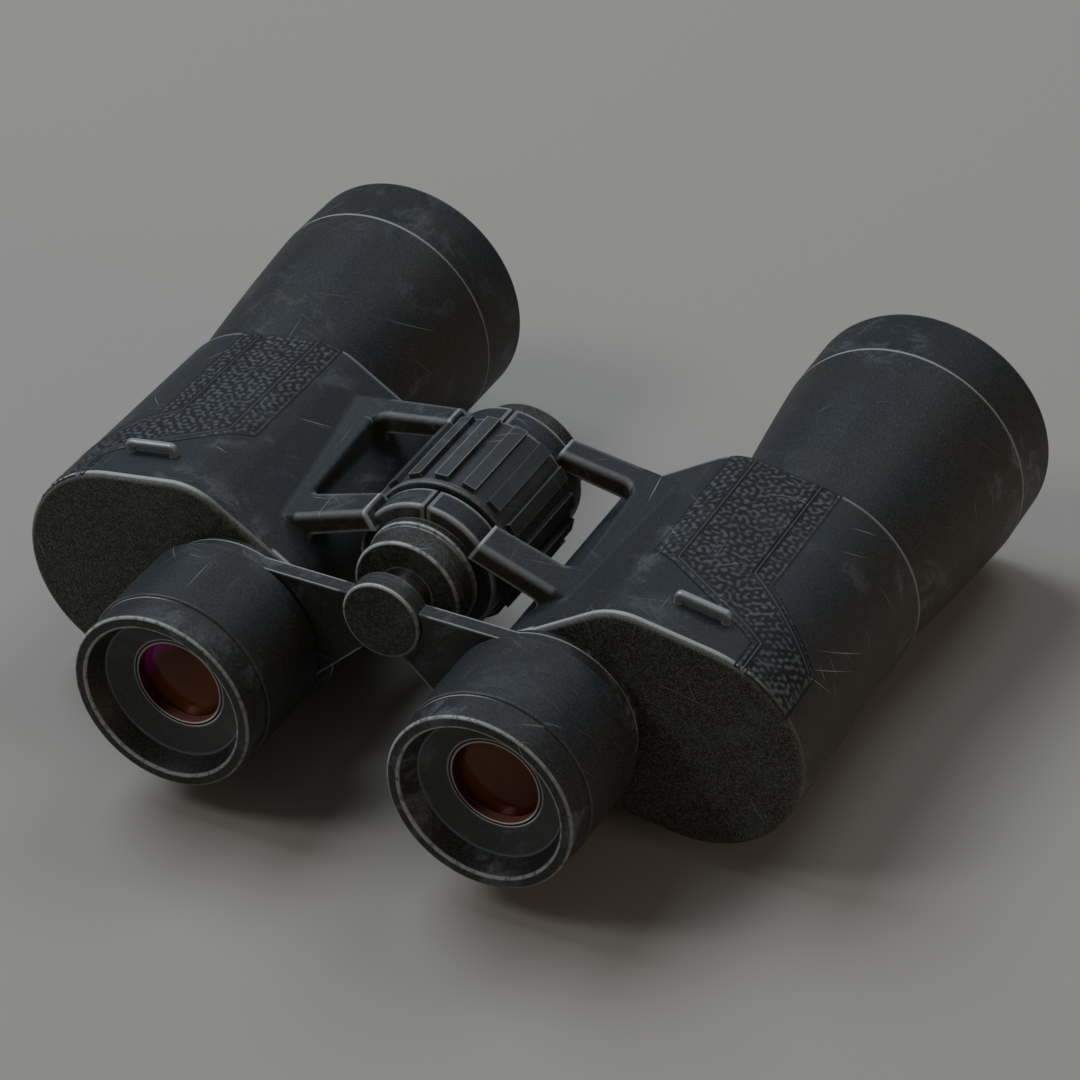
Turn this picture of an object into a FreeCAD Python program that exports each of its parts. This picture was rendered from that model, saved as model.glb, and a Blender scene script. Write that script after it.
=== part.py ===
"""Porro prism binoculars with a centre hinge and centre focusing, as a parametric FreeCAD document.

Frame: millimetres, +Z up, +Y from the eyecups to the objectives, +X to the user's right.
The origin lies midway along and across the instrument, in the plane that the objective rings rest on.
Each sub-part is one object of the document. Every free size is a cell of the sheet, and the
sketches, features and placements are bound to those cells.
"""
import math
import os

import FreeCAD
import Part
import Sketcher

Vector = FreeCAD.Vector
DOC = FreeCAD.newDocument("Binoculars")
SHEET = DOC.addObject("Spreadsheet::Sheet", "Sizes")

SIZES = {
    # optical and hinge axes
    "eye_half": 37.0,              # eyepiece axis from the middle, at the widest setting
    "objective_half": 66.75,       # objective axis from the middle
    "eye_height": 29.1,            # eyepiece axis above the resting plane
    "hinge_rise": 14.4,            # hinge axis above the eyepiece axis
    # lengths along the instrument
    "rear_reach": 35.2,            # eyecup rim to the housing's rear face
    "housing_length": 62.4,
    "barrel_length": 50.0,         # housing front to the seam of the front ring
    "ring_length": 16.5,
    # housing section
    "outer_lobe": 25.1,
    "crown_radius": 16.0,
    "crown_inset": 14.35,          # crown's centre inside the objective axis
    "crown_rise": 12.0,
    "inner_lobe": 17.7,
    "chin_radius": 13.2,
    "chin_inset": 6.5,             # chin's centre inside the eyepiece axis
    "chin_drop": 7.5,
    "keel_radius": 5.5,
    "keel_offset": 9.5,            # keel's centre outside the eyepiece axis
    "keel_drop": 17.6,
    "waist_radius": 7.8,
    "waist_angle": 69.2,           # degrees below level, from the objective axis inwards
    "waist_slack": 0.7,            # between the waist's circle and the outer lobe's
    "wall": 2.2,
    "front_wall": 3.0,
    "cover_depth": 1.5,
    "cover_round": 1.3,
    "cover_rebate": 1.3,
    # hinge arms
    "arm_set": 10.7,               # rear face of the arms in front of the housing's rear face
    "rear_arm_length": 8.7,
    "front_arm_length": 6.5,
    "window_length": 29.3,
    "window_x": 31.2,
    "window_corner": 3.0,
    "arm_top_round": 1.2,
    "arm_low_round": 0.6,
    "arm_blend": 1.5,              # where the arms meet the housing
    "arm_tip_x": 13.5,
    "arm_tip_rise": 12.0,          # top corner of an arm's tip above the hinge axis
    "arm_tip_slant": 2.7,
    "arm_tip_depth": 4.3,
    "arm_root_x": 43.0,
    "arm_root_depth": 5.7,
    "rear_arm_root_rise": 1.3,
    "front_arm_root_rise": 7.9,
    # hinge knuckles
    "knuckle_radius": 16.0,
    "knuckle_length": 6.8,
    "knuckle_round": 0.6,
    "knuckle_set": 13.1,           # rear knuckle in front of the housing's rear face
    "knuckle_gap": 27.5,           # between the rear and the front knuckle
    "knuckle_groove": 1.4,         # degrees from the top to each half of a knuckle
    "knuckle_wrap": 154.0,         # degrees that each half of a knuckle covers
    "shell_bore": 10.15,
    "eye_ring_radius": 9.8,
    "axle_radius": 6.0,
    "axle_bore": 4.4,
    "running_fit": 0.05,
    "side_gap": 0.2,
    # hinge ends
    "boss_small": 12.3,
    "boss_large": 12.9,
    "boss_small_length": 6.8,
    "boss_large_length": 2.4,
    "boss_round": 0.8,
    "cap_radius": 13.0,
    "cap_length": 7.0,
    "cap_plug_length": 6.0,
    "socket_radius": 3.175,
    "socket_depth": 5.5,
    # focus wheel
    "wheel_gap": 0.55,             # between the wheel and each knuckle
    "flange_radius": 17.1,
    "flange_length": 1.2,
    "grip_radius": 17.0,
    "rib_radius": 18.2,
    "rib_count": 17,
    "rib_width": 3.2,
    "rib_margin": 0.6,
    "rib_phase": 3.3,              # degrees from the top to the first rib, seen from behind
    "core_radius": 14.5,
    "chamber_radius": 10.5,
    "core_web": 5.7,               # solid length at each end of the core
    # focus shaft and bridge
    "shaft_radius": 4.35,
    "neck_radius": 3.0,
    "pin_radius": 1.1,
    "pin_half": 9.6,
    "pin_slot_fit": 0.1,
    "focus_back": 7.2,             # travel of the eyepieces towards the eye
    "focus_over": 0.8,             # travel past the resting place, towards the housing
    "shaft_nose": 2.6,             # shaft in front of its pin
    "bridge_depth": 3.7,
    "bridge_set": 2.4,             # front of the bridge behind the housing's rear face
    "bridge_top": 3.8,             # top edge above the hinge axis
    "bridge_hub": 9.0,
    "hub_gap": 0.15,
    "bridge_cap_length": 1.6,
    "bridge_cap_over": 1.15,       # cap behind the bridge arms
    "bridge_cap_seat": 0.8,
    "bridge_low_x": 24.5,
    "bridge_low_drop": 13.4,
    "bridge_root_x": 4.0,
    "bridge_root_drop": 7.9,
    # eyepieces
    "tube_radius": 21.5,
    "tube_wall": 1.85,
    "tube_length": 20.5,
    "cup_length": 7.8,
    "cup_radius": 21.0,
    "cup_mouth": 18.3,
    "cup_round": 0.9,
    "edge_round": 0.4,
    "dish_radius": 16.4,
    "dish_set": 4.9,
    "dish_depth": 2.5,
    "flange_set": 6.6,
    "flange_depth": 1.7,
    "dioptre_room": 1.9,
    "collar_radius": 15.5,
    "collar_bore": 14.0,
    "collar_reach": 21.0,          # collar behind the housing's rear face
    "collar_flange": 18.6,
    "collar_flange_depth": 1.4,
    "cell_radius": 13.8,
    "cell_bore": 12.2,
    "cell_length": 22.0,
    "eye_lens_radius": 10.2,
    "eye_lens_edge": 3.9,
    "eye_lens_bulge": 0.9,
    "eye_ring_outer": 10.8,
    "eye_ring_bore": 9.7,
    "eye_ring_depth": 1.0,
    "eye_lens_recess": 1.5,        # lens behind its ring
    "lens_lip": 1.0,
    "seat_relief": 0.2,            # how far a lens seat slopes away from the glass
    "field_lens_set": 24.0,
    "field_lens_edge": 3.0,
    "field_lens_bulge": 1.4,
    # objective barrels
    "barrel_rear_radius": 23.9,
    "barrel_front_radius": 29.5,
    "barrel_belly": 0.35,          # how far the flare bows out
    "barrel_wall": 1.9,
    "spigot_radius": 20.0,
    "objective_cell_radius": 27.3,
    "objective_cell_back": 7.0,    # cell behind the seam of the front ring
    "objective_cell_front": 6.5,   # cell in front of that seam
    "objective_radius": 25.9,
    "objective_edge": 5.5,
    "objective_bulge": 2.2,
    "aperture": 25.0,
    "retainer_depth": 2.4,
    "rim_round": 0.6,
    # prisms
    "prism_width": 17.0,
    "shelf_depth": 3.0,
    "prism_clear": 0.8,            # between the rear clip and the cover
    "shelf_hole": 8.0,
    "clip_depth": 0.6,
    "clip_width": 6.0,
    # grip panels and strap lugs
    "panel_depth": 0.8,
    "panel_proud": 0.12,
    "panel_inner_x": 48.2,
    "panel_outer_x": 72.2,
    "panel_waist": 24.8,           # these four lie in front of the housing's rear face
    "panel_outer_waist": 26.0,
    "panel_inner_corner": 9.2,
    "panel_outer_corner": 14.4,
    "panel_tail_inner_x": 77.0,
    "panel_tail_outer_x": 86.9,
    "lug_gauge": 1.9,
    "lug_span": 12.6,
    "lug_x": 64.6,
    "lug_set": 9.4,                # lug in front of the housing's rear face
    "lug_stand": 3.0,
    "lug_bend": 1.4,
    "lug_round": 0.7,
}


class Size:
    """A length that knows its value and the sheet expression that it is worked out from."""

    def __init__(self, value, text):
        """Keep the number and the expression text together."""
        self.value = float(value)
        self.text = text

    @staticmethod
    def of(other):
        """Return other as a Size, whether it is a Size or a plain number."""
        if isinstance(other, Size):
            return other
        return Size(other, repr(float(other)))

    def __add__(self, other):
        other = Size.of(other)
        return Size(self.value + other.value, f"({self.text} + {other.text})")

    def __sub__(self, other):
        other = Size.of(other)
        return Size(self.value - other.value, f"({self.text} - {other.text})")

    def __mul__(self, other):
        other = Size.of(other)
        return Size(self.value * other.value, f"({self.text} * {other.text})")

    def __truediv__(self, other):
        other = Size.of(other)
        return Size(self.value / other.value, f"({self.text} / {other.text})")

    def __neg__(self):
        return Size(-self.value, f"(-1 * {self.text})")

    __radd__ = __add__
    __rmul__ = __mul__

    def __rsub__(self, other):
        return Size.of(other) - self


def fill_sheet():
    """Write every size to the sheet, one named cell a row."""
    for row, (name, number) in enumerate(SIZES.items(), start=1):
        SHEET.set(f"A{row}", name)
        SHEET.set(f"B{row}", str(number))
        SHEET.setAlias(f"B{row}", name)
    DOC.recompute()


def size(name):
    """Return the sheet's size of that name."""
    return Size(SHEET.get(name), f"{SHEET.Name}.{name}")


fill_sheet()

# stations along the instrument
OVERALL = size("rear_reach") + size("housing_length") + size("barrel_length") + size("ring_length")
RIM_Y = -(OVERALL / 2)
HOUSING_REAR = RIM_Y + size("rear_reach")
HOUSING_FRONT = HOUSING_REAR + size("housing_length")
COVER_FRONT = HOUSING_REAR + size("cover_depth")
SEAM_Y = HOUSING_FRONT + size("barrel_length")
REAR_ARM = HOUSING_REAR + size("arm_set")
WINDOW_REAR = REAR_ARM + size("rear_arm_length")
WINDOW_FRONT = WINDOW_REAR + size("window_length")
FRONT_ARM_END = WINDOW_FRONT + size("front_arm_length")
REAR_KNUCKLE = HOUSING_REAR + size("knuckle_set")
WHEEL_ROOM = REAR_KNUCKLE + size("knuckle_length")
FRONT_KNUCKLE = WHEEL_ROOM + size("knuckle_gap")
KNUCKLE_END = FRONT_KNUCKLE + size("knuckle_length")
WHEEL_REAR = WHEEL_ROOM + size("wheel_gap")
WHEEL_FRONT = FRONT_KNUCKLE - size("wheel_gap")
CHAMBER_REAR = WHEEL_REAR + size("core_web")
CHAMBER_FRONT = WHEEL_FRONT - size("core_web")
PIN_Y = (CHAMBER_REAR + CHAMBER_FRONT + size("focus_back") - size("focus_over")) / 2
BRIDGE_FRONT = HOUSING_REAR - size("bridge_set")
BRIDGE_REAR = BRIDGE_FRONT - size("bridge_depth")
BEAM_STEP = (size("objective_half") - size("eye_half")) / 2
PRISM_REACH = (BEAM_STEP * math.sqrt(2) + size("prism_width")) / 2
CLIP_REACH = PRISM_REACH + size("clip_depth") * math.sqrt(2)
SHELF_REAR = COVER_FRONT + size("cover_rebate") + size("prism_clear") + CLIP_REACH
SHELF_FRONT = SHELF_REAR + size("shelf_depth")

# heights of the axes
EYE_Z = size("eye_height")
HINGE_Z = EYE_Z + size("hinge_rise")
OBJECTIVE_Z = size("barrel_front_radius")

# radii that follow from a neighbour and a running fit
SLEEVE_BORE = size("collar_radius") + size("running_fit")
TUBE_BORE = size("tube_radius") - size("tube_wall")
SLEEVE_RADIUS = TUBE_BORE - size("running_fit")
SLEEVE_REAR = size("flange_set") + size("flange_depth") + size("dioptre_room")

PARTS = {}


def plane(body, role):
    """Return one of the body's own origin planes or axes."""
    return next(item for item in body.Origin.OriginFeatures if item.Role == role)


def keep(item, label):
    """Give a finished sub-part its label and list it for export."""
    item.Label = label
    PARTS[label] = item
    return item


def new_body(label):
    """Start a PartDesign body that is one sub-part."""
    return DOC.addObject("PartDesign::Body", label)


def place(body, x=None, y=None, z=None):
    """Bind the body's place to the sheet."""
    for axis, distance in (("x", x), ("y", y), ("z", z)):
        if distance is not None:
            body.setExpression(f"Placement.Base.{axis}", Size.of(distance).text)


def sketch_on(body, role, lift=None):
    """Attach a new sketch to an origin plane, raised along its normal by lift."""
    sketch = body.newObject("Sketcher::SketchObject", f"{body.Name}_sketch")
    sketch.AttachmentSupport = [(plane(body, role), "")]
    sketch.MapMode = "FlatFace"
    if lift is not None:
        sketch.setExpression("AttachmentOffset.Base.z", lift.text)
    return sketch


def bind(sketch, kind, elements, length):
    """Add a driving dimension that reads the sheet."""
    index = sketch.addConstraint(Sketcher.Constraint(kind, *elements, length.value))
    sketch.setExpression(f"Constraints[{index}]", length.text)


def pin_point(sketch, edge, end, x, y):
    """Dimension one end of an edge from the sketch's origin."""
    bind(sketch, "DistanceX", (-1, 1, edge, end), x)
    bind(sketch, "DistanceY", (-1, 1, edge, end), y)


def polygon(sketch, points):
    """Draw a closed outline of straight edges through the points."""
    points = [(Size.of(x), Size.of(y)) for x, y in points]
    corners = [Vector(x.value, y.value, 0) for x, y in points]
    first = sketch.GeometryCount
    count = len(points)
    for index in range(count):
        sketch.addGeometry(Part.LineSegment(corners[index], corners[(index + 1) % count]))
    for index in range(count):
        following = first + (index + 1) % count
        sketch.addConstraint(Sketcher.Constraint("Coincident", first + index, 2, following, 1))
    for index, (x, y) in enumerate(points):
        pin_point(sketch, first + index, 1, x, y)


def circle(sketch, x, y, radius):
    """Draw a dimensioned circle."""
    x, y, radius = Size.of(x), Size.of(y), Size.of(radius)
    shape = Part.Circle(Vector(x.value, y.value, 0), Vector(0, 0, 1), radius.value)
    index = sketch.addGeometry(shape)
    pin_point(sketch, index, 3, x, y)
    bind(sketch, "Radius", (index,), radius)


def tangent_run(first, second):
    """Return where a belt's straight run leaves one pulley and meets the next."""
    (x1, y1, r1, turn1), (x2, y2, r2, turn2) = first, second
    step = turn2 * r2 - turn1 * r1
    gap = math.hypot(x2 - x1, y2 - y1)
    heading = math.atan2(y2 - y1, x2 - x1) - math.asin(step / gap)
    normal = Vector(-math.sin(heading), math.cos(heading), 0)
    return Vector(x1, y1, 0) - normal * turn1 * r1, Vector(x2, y2, 0) - normal * turn2 * r2


def belt(sketch, pulleys, sense):
    """Draw the outline that a belt takes round the pulleys.

    A pulley is x, y, radius and turn: 1 where the outline bows out and -1 where it bows in.
    sense is 1 for a belt that runs anticlockwise and -1 for its mirror image.
    """
    wheels = [(x.value, y.value, r.value, turn * sense) for x, y, r, turn in pulleys]
    count = len(wheels)
    runs = [tangent_run(wheels[i], wheels[(i + 1) % count]) for i in range(count)]
    arcs = []
    for index, (x, y, radius, turn) in enumerate(wheels):
        centre = Vector(x, y, 0)
        enter = runs[index - 1][1] - centre
        leave = runs[index][0] - centre
        start, stop = (enter, leave) if turn > 0 else (leave, enter)
        shape = Part.Circle(centre, Vector(0, 0, 1), radius)
        angles = math.atan2(start.y, start.x), math.atan2(stop.y, stop.x)
        arcs.append(sketch.addGeometry(Part.ArcOfCircle(shape, *angles)))
    for index, (leave, enter) in enumerate(runs):
        line = sketch.addGeometry(Part.LineSegment(leave, enter))
        following = (index + 1) % count
        leave_end = 2 if wheels[index][3] > 0 else 1
        enter_end = 1 if wheels[following][3] > 0 else 2
        sketch.addConstraint(Sketcher.Constraint("Tangent", arcs[index], leave_end, line, 1))
        sketch.addConstraint(Sketcher.Constraint("Tangent", line, 2, arcs[following], enter_end))
    for arc, (x, y, radius, _) in zip(arcs, pulleys):
        pin_point(sketch, arc, 3, x, y)
        bind(sketch, "Radius", (arc,), radius)


def pad(body, sketch, length):
    """Raise the sketch towards the front, along +Y."""
    feature = body.newObject("PartDesign::Pad", "Pad")
    feature.Profile = sketch
    feature.Reversed = True
    feature.setExpression("Length", Size.of(length).text)
    return feature


def pocket(body, sketch, length):
    """Cut the sketch towards the front, along +Y, and check that it removes material."""
    DOC.recompute()
    before = body.Shape.Volume
    feature = body.newObject("PartDesign::Pocket", "Pocket")
    feature.Profile = sketch
    feature.setExpression("Length", Size.of(length).text)
    DOC.recompute()
    if body.Shape.Volume > before - 1e-3:
        raise RuntimeError(f"{body.Name}: a pocket removed nothing")
    return feature


def cross_section(body, y):
    """Start a sketch that faces along the instrument, at station y."""
    return sketch_on(body, "XZ_Plane", -Size.of(y))


def turned(label, points, x=None, y=None, z=None):
    """Make a piece turned about its own Y axis from points of radius and station."""
    body = new_body(label)
    sketch = sketch_on(body, "XY_Plane")
    polygon(sketch, points)
    feature = body.newObject("PartDesign::Revolution", "Turn")
    feature.Profile = sketch
    feature.ReferenceAxis = (sketch, ["V_Axis"])
    place(body, x, y, z)
    return keep(body, label)


def round_edges(body, radius, corners):
    """Round the turned edges at these corners, each a radius and a station in the body's own frame."""
    DOC.recompute()
    base = body.Tip
    names = []
    for index, edge in enumerate(base.Shape.Edges, start=1):
        curve = edge.Curve
        if not isinstance(curve, Part.Circle):
            continue
        for r, y in corners:
            if abs(curve.Radius - Size.of(r).value) < 1e-4 and abs(curve.Center.y - Size.of(y).value) < 1e-4:
                names.append(f"Edge{index}")
    if len(names) < len(corners):
        raise RuntimeError(f"{body.Name}: a corner to round wasn't found")
    rounding = body.newObject("PartDesign::Fillet", "Rounding")
    rounding.Base = (base, names)
    rounding.setExpression("Radius", Size.of(radius).text)


def ring(label, outer, bore, start, length, x, y, z):
    """Make a plain ring."""
    end = start + length
    return turned(label, [(bore, start), (outer, start), (outer, end), (bore, end)], x, y, z)


def cosine(angle):
    """Return the cosine of an angle in degrees."""
    return Size(math.cos(math.radians(angle.value)), f"cos({angle.text} * 1 deg)")


def sine(angle):
    """Return the sine of an angle in degrees."""
    return Size(math.sin(math.radians(angle.value)), f"sin({angle.text} * 1 deg)")


def sagitta_radius(half_chord, bulge):
    """Return the radius of the arc with that half chord and height."""
    return (half_chord * half_chord + bulge * bulge) / (bulge * 2)


def lens(label, radius, start, edge, bulge, x, y, z):
    """Make a biconvex lens whose rim runs from start over the length edge."""
    body = new_body(label)
    sketch = sketch_on(body, "XY_Plane")
    end = start + edge
    curve = sagitta_radius(radius, bulge)
    rear_pole, front_pole = start - bulge, end + bulge
    half_angle = math.asin(radius.value / curve.value)
    up = math.pi / 2
    rear_circle = Part.Circle(Vector(0, (rear_pole + curve).value, 0), Vector(0, 0, 1), curve.value)
    front_circle = Part.Circle(Vector(0, (front_pole - curve).value, 0), Vector(0, 0, 1), curve.value)
    sketch.addGeometry(Part.ArcOfCircle(rear_circle, -up, half_angle - up))
    rim = [Vector(radius.value, start.value, 0), Vector(radius.value, end.value, 0)]
    sketch.addGeometry(Part.LineSegment(*rim))
    sketch.addGeometry(Part.ArcOfCircle(front_circle, up - half_angle, up))
    poles = [Vector(0, front_pole.value, 0), Vector(0, rear_pole.value, 0)]
    sketch.addGeometry(Part.LineSegment(*poles))
    for first, first_end, second, second_end in ((0, 2, 1, 1), (1, 2, 2, 1), (2, 2, 3, 1), (3, 2, 0, 1)):
        sketch.addConstraint(Sketcher.Constraint("Coincident", first, first_end, second, second_end))
    pin_point(sketch, 1, 1, radius, start)
    pin_point(sketch, 1, 2, radius, end)
    pin_point(sketch, 3, 1, Size.of(0), front_pole)
    pin_point(sketch, 3, 2, Size.of(0), rear_pole)
    bind(sketch, "Radius", (0,), curve)
    bind(sketch, "Radius", (2,), curve)
    feature = body.newObject("PartDesign::Revolution", "Turn")
    feature.Profile = sketch
    feature.ReferenceAxis = (sketch, ["V_Axis"])
    place(body, x, y, z)
    return keep(body, label)


def housing_pulleys(side, grow):
    """Return the housing's section as belt pulleys, grown outwards by grow."""
    eye_x, objective_x = size("eye_half"), size("objective_half")
    reach = size("outer_lobe") + size("waist_radius") + size("waist_slack")
    angle = size("waist_angle")
    waist_x, waist_z = objective_x - reach * cosine(angle), OBJECTIVE_Z - reach * sine(angle)
    pulleys = [
        (objective_x, OBJECTIVE_Z, size("outer_lobe") + grow, 1),
        (objective_x - size("crown_inset"), EYE_Z + size("crown_rise"), size("crown_radius") + grow, 1),
        (eye_x, EYE_Z, size("inner_lobe") + grow, 1),
        (eye_x - size("chin_inset"), EYE_Z - size("chin_drop"), size("chin_radius") + grow, 1),
        (eye_x + size("keel_offset"), EYE_Z - size("keel_drop"), size("keel_radius") + grow, 1),
        (waist_x, waist_z, size("waist_radius") - grow, -1),
    ]
    return [(x * side, z, radius, turn) for x, z, radius, turn in pulleys]


def housing_section(body, side, y, grow=0.0):
    """Sketch the housing's section at station y."""
    sketch = cross_section(body, y)
    belt(sketch, housing_pulleys(side, Size.of(grow)), side)
    return sketch


def arm_section(body, side, y, root_rise):
    """Sketch the section of the hinge arms' plate at station y."""
    sketch = cross_section(body, y)
    tip_x, root_x = size("arm_tip_x") * side, size("arm_root_x") * side
    tip_z, root_z = HINGE_Z + size("arm_tip_rise"), HINGE_Z + root_rise
    polygon(sketch, [
        (tip_x, tip_z),
        (tip_x - size("arm_tip_slant") * side, tip_z - size("arm_tip_depth")),
        (root_x, root_z - size("arm_root_depth")),
        (root_x, root_z),
    ])
    return sketch


def arm_plate(body, side):
    """Loft the plate of the two hinge arms and cut the window between them."""
    loft = body.newObject("PartDesign::AdditiveLoft", "ArmPlate")
    loft.Profile = arm_section(body, side, REAR_ARM, size("rear_arm_root_rise"))
    loft.Sections = [arm_section(body, side, FRONT_ARM_END, size("front_arm_root_rise"))]
    loft.Ruled = True
    DOC.recompute()
    solid = body.Shape.Volume
    sketch = sketch_on(body, "XY_Plane")
    window_outline(sketch, side)
    window = body.newObject("PartDesign::Pocket", "Window")
    window.Profile = sketch
    window.Type = "Length"
    window.Midplane = True
    window.setExpression("Length", (HINGE_Z * 4).text)
    DOC.recompute()
    if body.Shape.Volume > solid * 0.9:
        raise RuntimeError("the window between the arms wasn't cut")
    round_named(body, skin_edges(body.Shape, 1), "arm_top_round")
    round_named(body, skin_edges(body.Shape, -1), "arm_low_round")


def skin_edges(shape, up):
    """Name the edges of the arms' upper or lower skin, without those at its tips and roots."""
    low, high = size("arm_tip_x").value, size("arm_root_x").value
    skins = [face for face in shape.Faces if face.normalAt(*face_middle(face)).z * up > 0.7]
    edges = [edge for face in skins for edge in face.Edges]
    edges = [edge for edge in edges if low + 1e-3 < abs(edge.BoundBox.Center.x) < high - 1e-3]
    return edge_names(shape, edges)


def edge_names(shape, edges):
    """Return the names that these edges have in the shape."""
    return [f"Edge{i}" for i, edge in enumerate(shape.Edges, start=1) if any(edge.isSame(e) for e in edges)]


def face_middle(face):
    """Return the parameters of the middle of a face."""
    u_start, u_end, v_start, v_end = face.ParameterRange
    return (u_start + u_end) / 2, (v_start + v_end) / 2


def round_named(body, names, radius):
    """Round the named edges of the body's last feature."""
    base = body.Tip
    rounding = body.newObject("PartDesign::Fillet", "Rounding")
    rounding.Base = (base, names)
    rounding.setExpression("Radius", size(radius).text)
    DOC.recompute()


def blend_edges(shape, arms, outline):
    """Name the edges of the shape where the arms' skin meets the block raised from the outline."""
    names = []
    for index, edge in enumerate(shape.Edges, start=1):
        middle = edge.valueAt((edge.FirstParameter + edge.LastParameter) / 2)
        shadow = Vector(middle.x, outline.BoundBox.YMin, middle.z)
        skins = (middle, arms.Shells[0]), (shadow, outline)
        if all(Part.Vertex(point).distToShape(skin)[0] < 1e-3 for point, skin in skins):
            names.append(f"Edge{index}")
    return names


def window_outline(sketch, side):
    """Draw the window with its four rounded corners; the inner two lie beyond the arms' tips."""
    corner = size("window_corner")
    outer, inner = size("window_x") - corner, corner
    rear, front = WINDOW_REAR + corner, WINDOW_FRONT - corner
    corners = [(outer, rear), (outer, front), (inner, front), (inner, rear)]
    belt(sketch, [(x * side, y, corner, 1) for x, y in corners], side)


def knuckle_half(body, side, start, length, bore, corner):
    """Turn one half of a knuckle, from the groove at the top round to below the hinge."""
    sketch = sketch_on(body, "XY_Plane", HINGE_Z)
    bore, outer = Size.of(bore), size("knuckle_radius")
    low, high = start + corner, start + length - corner
    corners = [(outer - corner, low), (outer - corner, high), (bore + corner, high), (bore + corner, low)]
    belt(sketch, [(x * side, y, corner, 1) for x, y in corners], side)
    feature = body.newObject("PartDesign::Revolution", "KnuckleHalf")
    feature.Profile = sketch
    feature.ReferenceAxis = (sketch, ["V_Axis"])
    feature.Type = "TwoAngles"
    upper = 90 - size("knuckle_groove")
    lower = size("knuckle_wrap") - upper
    feature.setExpression("Angle", (lower if side > 0 else upper).text)
    feature.setExpression("Angle2", (upper if side > 0 else lower).text)
    return feature


def hinge_eye(body, start, length):
    """Raise the full ring that carries one half on the axle."""
    sketch = cross_section(body, start)
    circle(sketch, 0, HINGE_Z, size("eye_ring_radius"))
    pad(body, sketch, length)


def knuckle(body, side, start, eye_first):
    """Raise one half of a knuckle with its own eye, clear of the other half's eye."""
    length = size("knuckle_length")
    eye_length = (length - size("side_gap")) / 2
    eye_start = start if eye_first else start + length - eye_length
    corner = size("knuckle_round")
    knuckle_half(body, side, start, length, size("shell_bore"), corner)
    inner = size("eye_ring_radius") - corner * 2
    knuckle_half(body, side, eye_start, eye_length, inner, corner)
    hinge_eye(body, eye_start, eye_length)


def plan_prism(label, points):
    """Make the upright solid over a plan outline, from the barrels' axis upwards."""
    body = new_body(label)
    sketch = sketch_on(body, "XY_Plane", OBJECTIVE_Z)
    polygon(sketch, points)
    feature = body.newObject("PartDesign::Pad", "Pad")
    feature.Profile = sketch
    feature.setExpression("Length", HINGE_Z.text)
    return body


def grip_panel(name, side):
    """Make the leatherette panel let into the housing, and return it."""
    skin = new_body(f"{name}_panel_skin")
    pad(skin, housing_section(skin, side, COVER_FRONT, size("panel_proud")), HOUSING_FRONT - COVER_FRONT)
    core = housing_section(skin, side, COVER_FRONT, -size("panel_depth"))
    pocket(skin, core, HOUSING_FRONT - COVER_FRONT)
    rear = COVER_FRONT
    points = [
        (size("panel_inner_x"), HOUSING_FRONT),
        (size("panel_inner_x"), HOUSING_REAR + size("panel_waist")),
        (size("panel_tail_inner_x"), HOUSING_REAR + size("panel_inner_corner")),
        (size("panel_tail_inner_x"), rear),
        (size("panel_tail_outer_x"), rear),
        (size("panel_tail_outer_x"), HOUSING_REAR + size("panel_outer_corner")),
        (size("panel_outer_x"), HOUSING_REAR + size("panel_outer_waist")),
        (size("panel_outer_x"), HOUSING_FRONT),
    ]
    plan = plan_prism(f"{name}_panel_plan", [(x * side, y) for x, y in points])
    panel = DOC.addObject("Part::Common", f"{name}_grip_panel")
    panel.Base = skin
    panel.Tool = plan
    return keep(panel, f"{name}_grip_panel")


def housing(name, side):
    """Make the cast prism housing with its hinge arms and knuckle halves."""
    body = new_body(f"{name}_casting")
    arm_plate(body, side)
    arms = body.Shape.copy()
    section = housing_section(body, side, COVER_FRONT)
    pad(body, section, HOUSING_FRONT - COVER_FRONT)
    DOC.recompute()
    round_named(body, blend_edges(body.Shape, arms, section.Shape), "arm_blend")
    outer_eye = side > 0
    knuckle(body, side, REAR_KNUCKLE, outer_eye)
    knuckle(body, side, FRONT_KNUCKLE, not outer_eye)
    hollow = housing_section(body, side, COVER_FRONT, -size("wall"))
    pocket(body, hollow, HOUSING_FRONT - COVER_FRONT - size("front_wall"))
    sketch = cross_section(body, HOUSING_FRONT - size("front_wall"))
    circle(sketch, size("objective_half") * side, OBJECTIVE_Z, size("spigot_radius"))
    pocket(body, sketch, size("front_wall"))
    sketch = cross_section(body, REAR_KNUCKLE)
    bore = size("axle_radius") if side > 0 else size("axle_radius") + size("running_fit")
    circle(sketch, 0, HINGE_Z, bore)
    pocket(body, sketch, KNUCKLE_END - REAR_KNUCKLE)
    casting = DOC.addObject("Part::Cut", f"{name}_housing")
    casting.Base = body
    casting.Tool = grip_panel(name, side)
    return keep(casting, f"{name}_housing")


def rear_cover(name, side):
    """Make the plate that closes the housing and carries the eyepiece collar."""
    body = new_body(f"{name}_rear_cover")
    plate = pad(body, housing_section(body, side, HOUSING_REAR), size("cover_depth"))
    DOC.recompute()
    rear = HOUSING_REAR.value
    faces = enumerate(plate.Shape.Faces, start=1)
    back = next(index for index, face in faces if abs(face.BoundBox.YMax - rear) < 1e-6)
    rounding = body.newObject("PartDesign::Fillet", "Rounding")
    rounding.Base = (plate, [f"Face{back}"])
    rounding.setExpression("Radius", size("cover_round").text)
    rebate = housing_section(body, side, COVER_FRONT, -size("wall") - size("running_fit"))
    pad(body, rebate, size("cover_rebate"))
    hole = cross_section(body, HOUSING_REAR)
    circle(hole, size("eye_half") * side, EYE_Z, size("collar_radius"))
    pocket(body, hole, size("cover_depth") + size("cover_rebate"))
    return keep(body, f"{name}_rear_cover")


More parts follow.
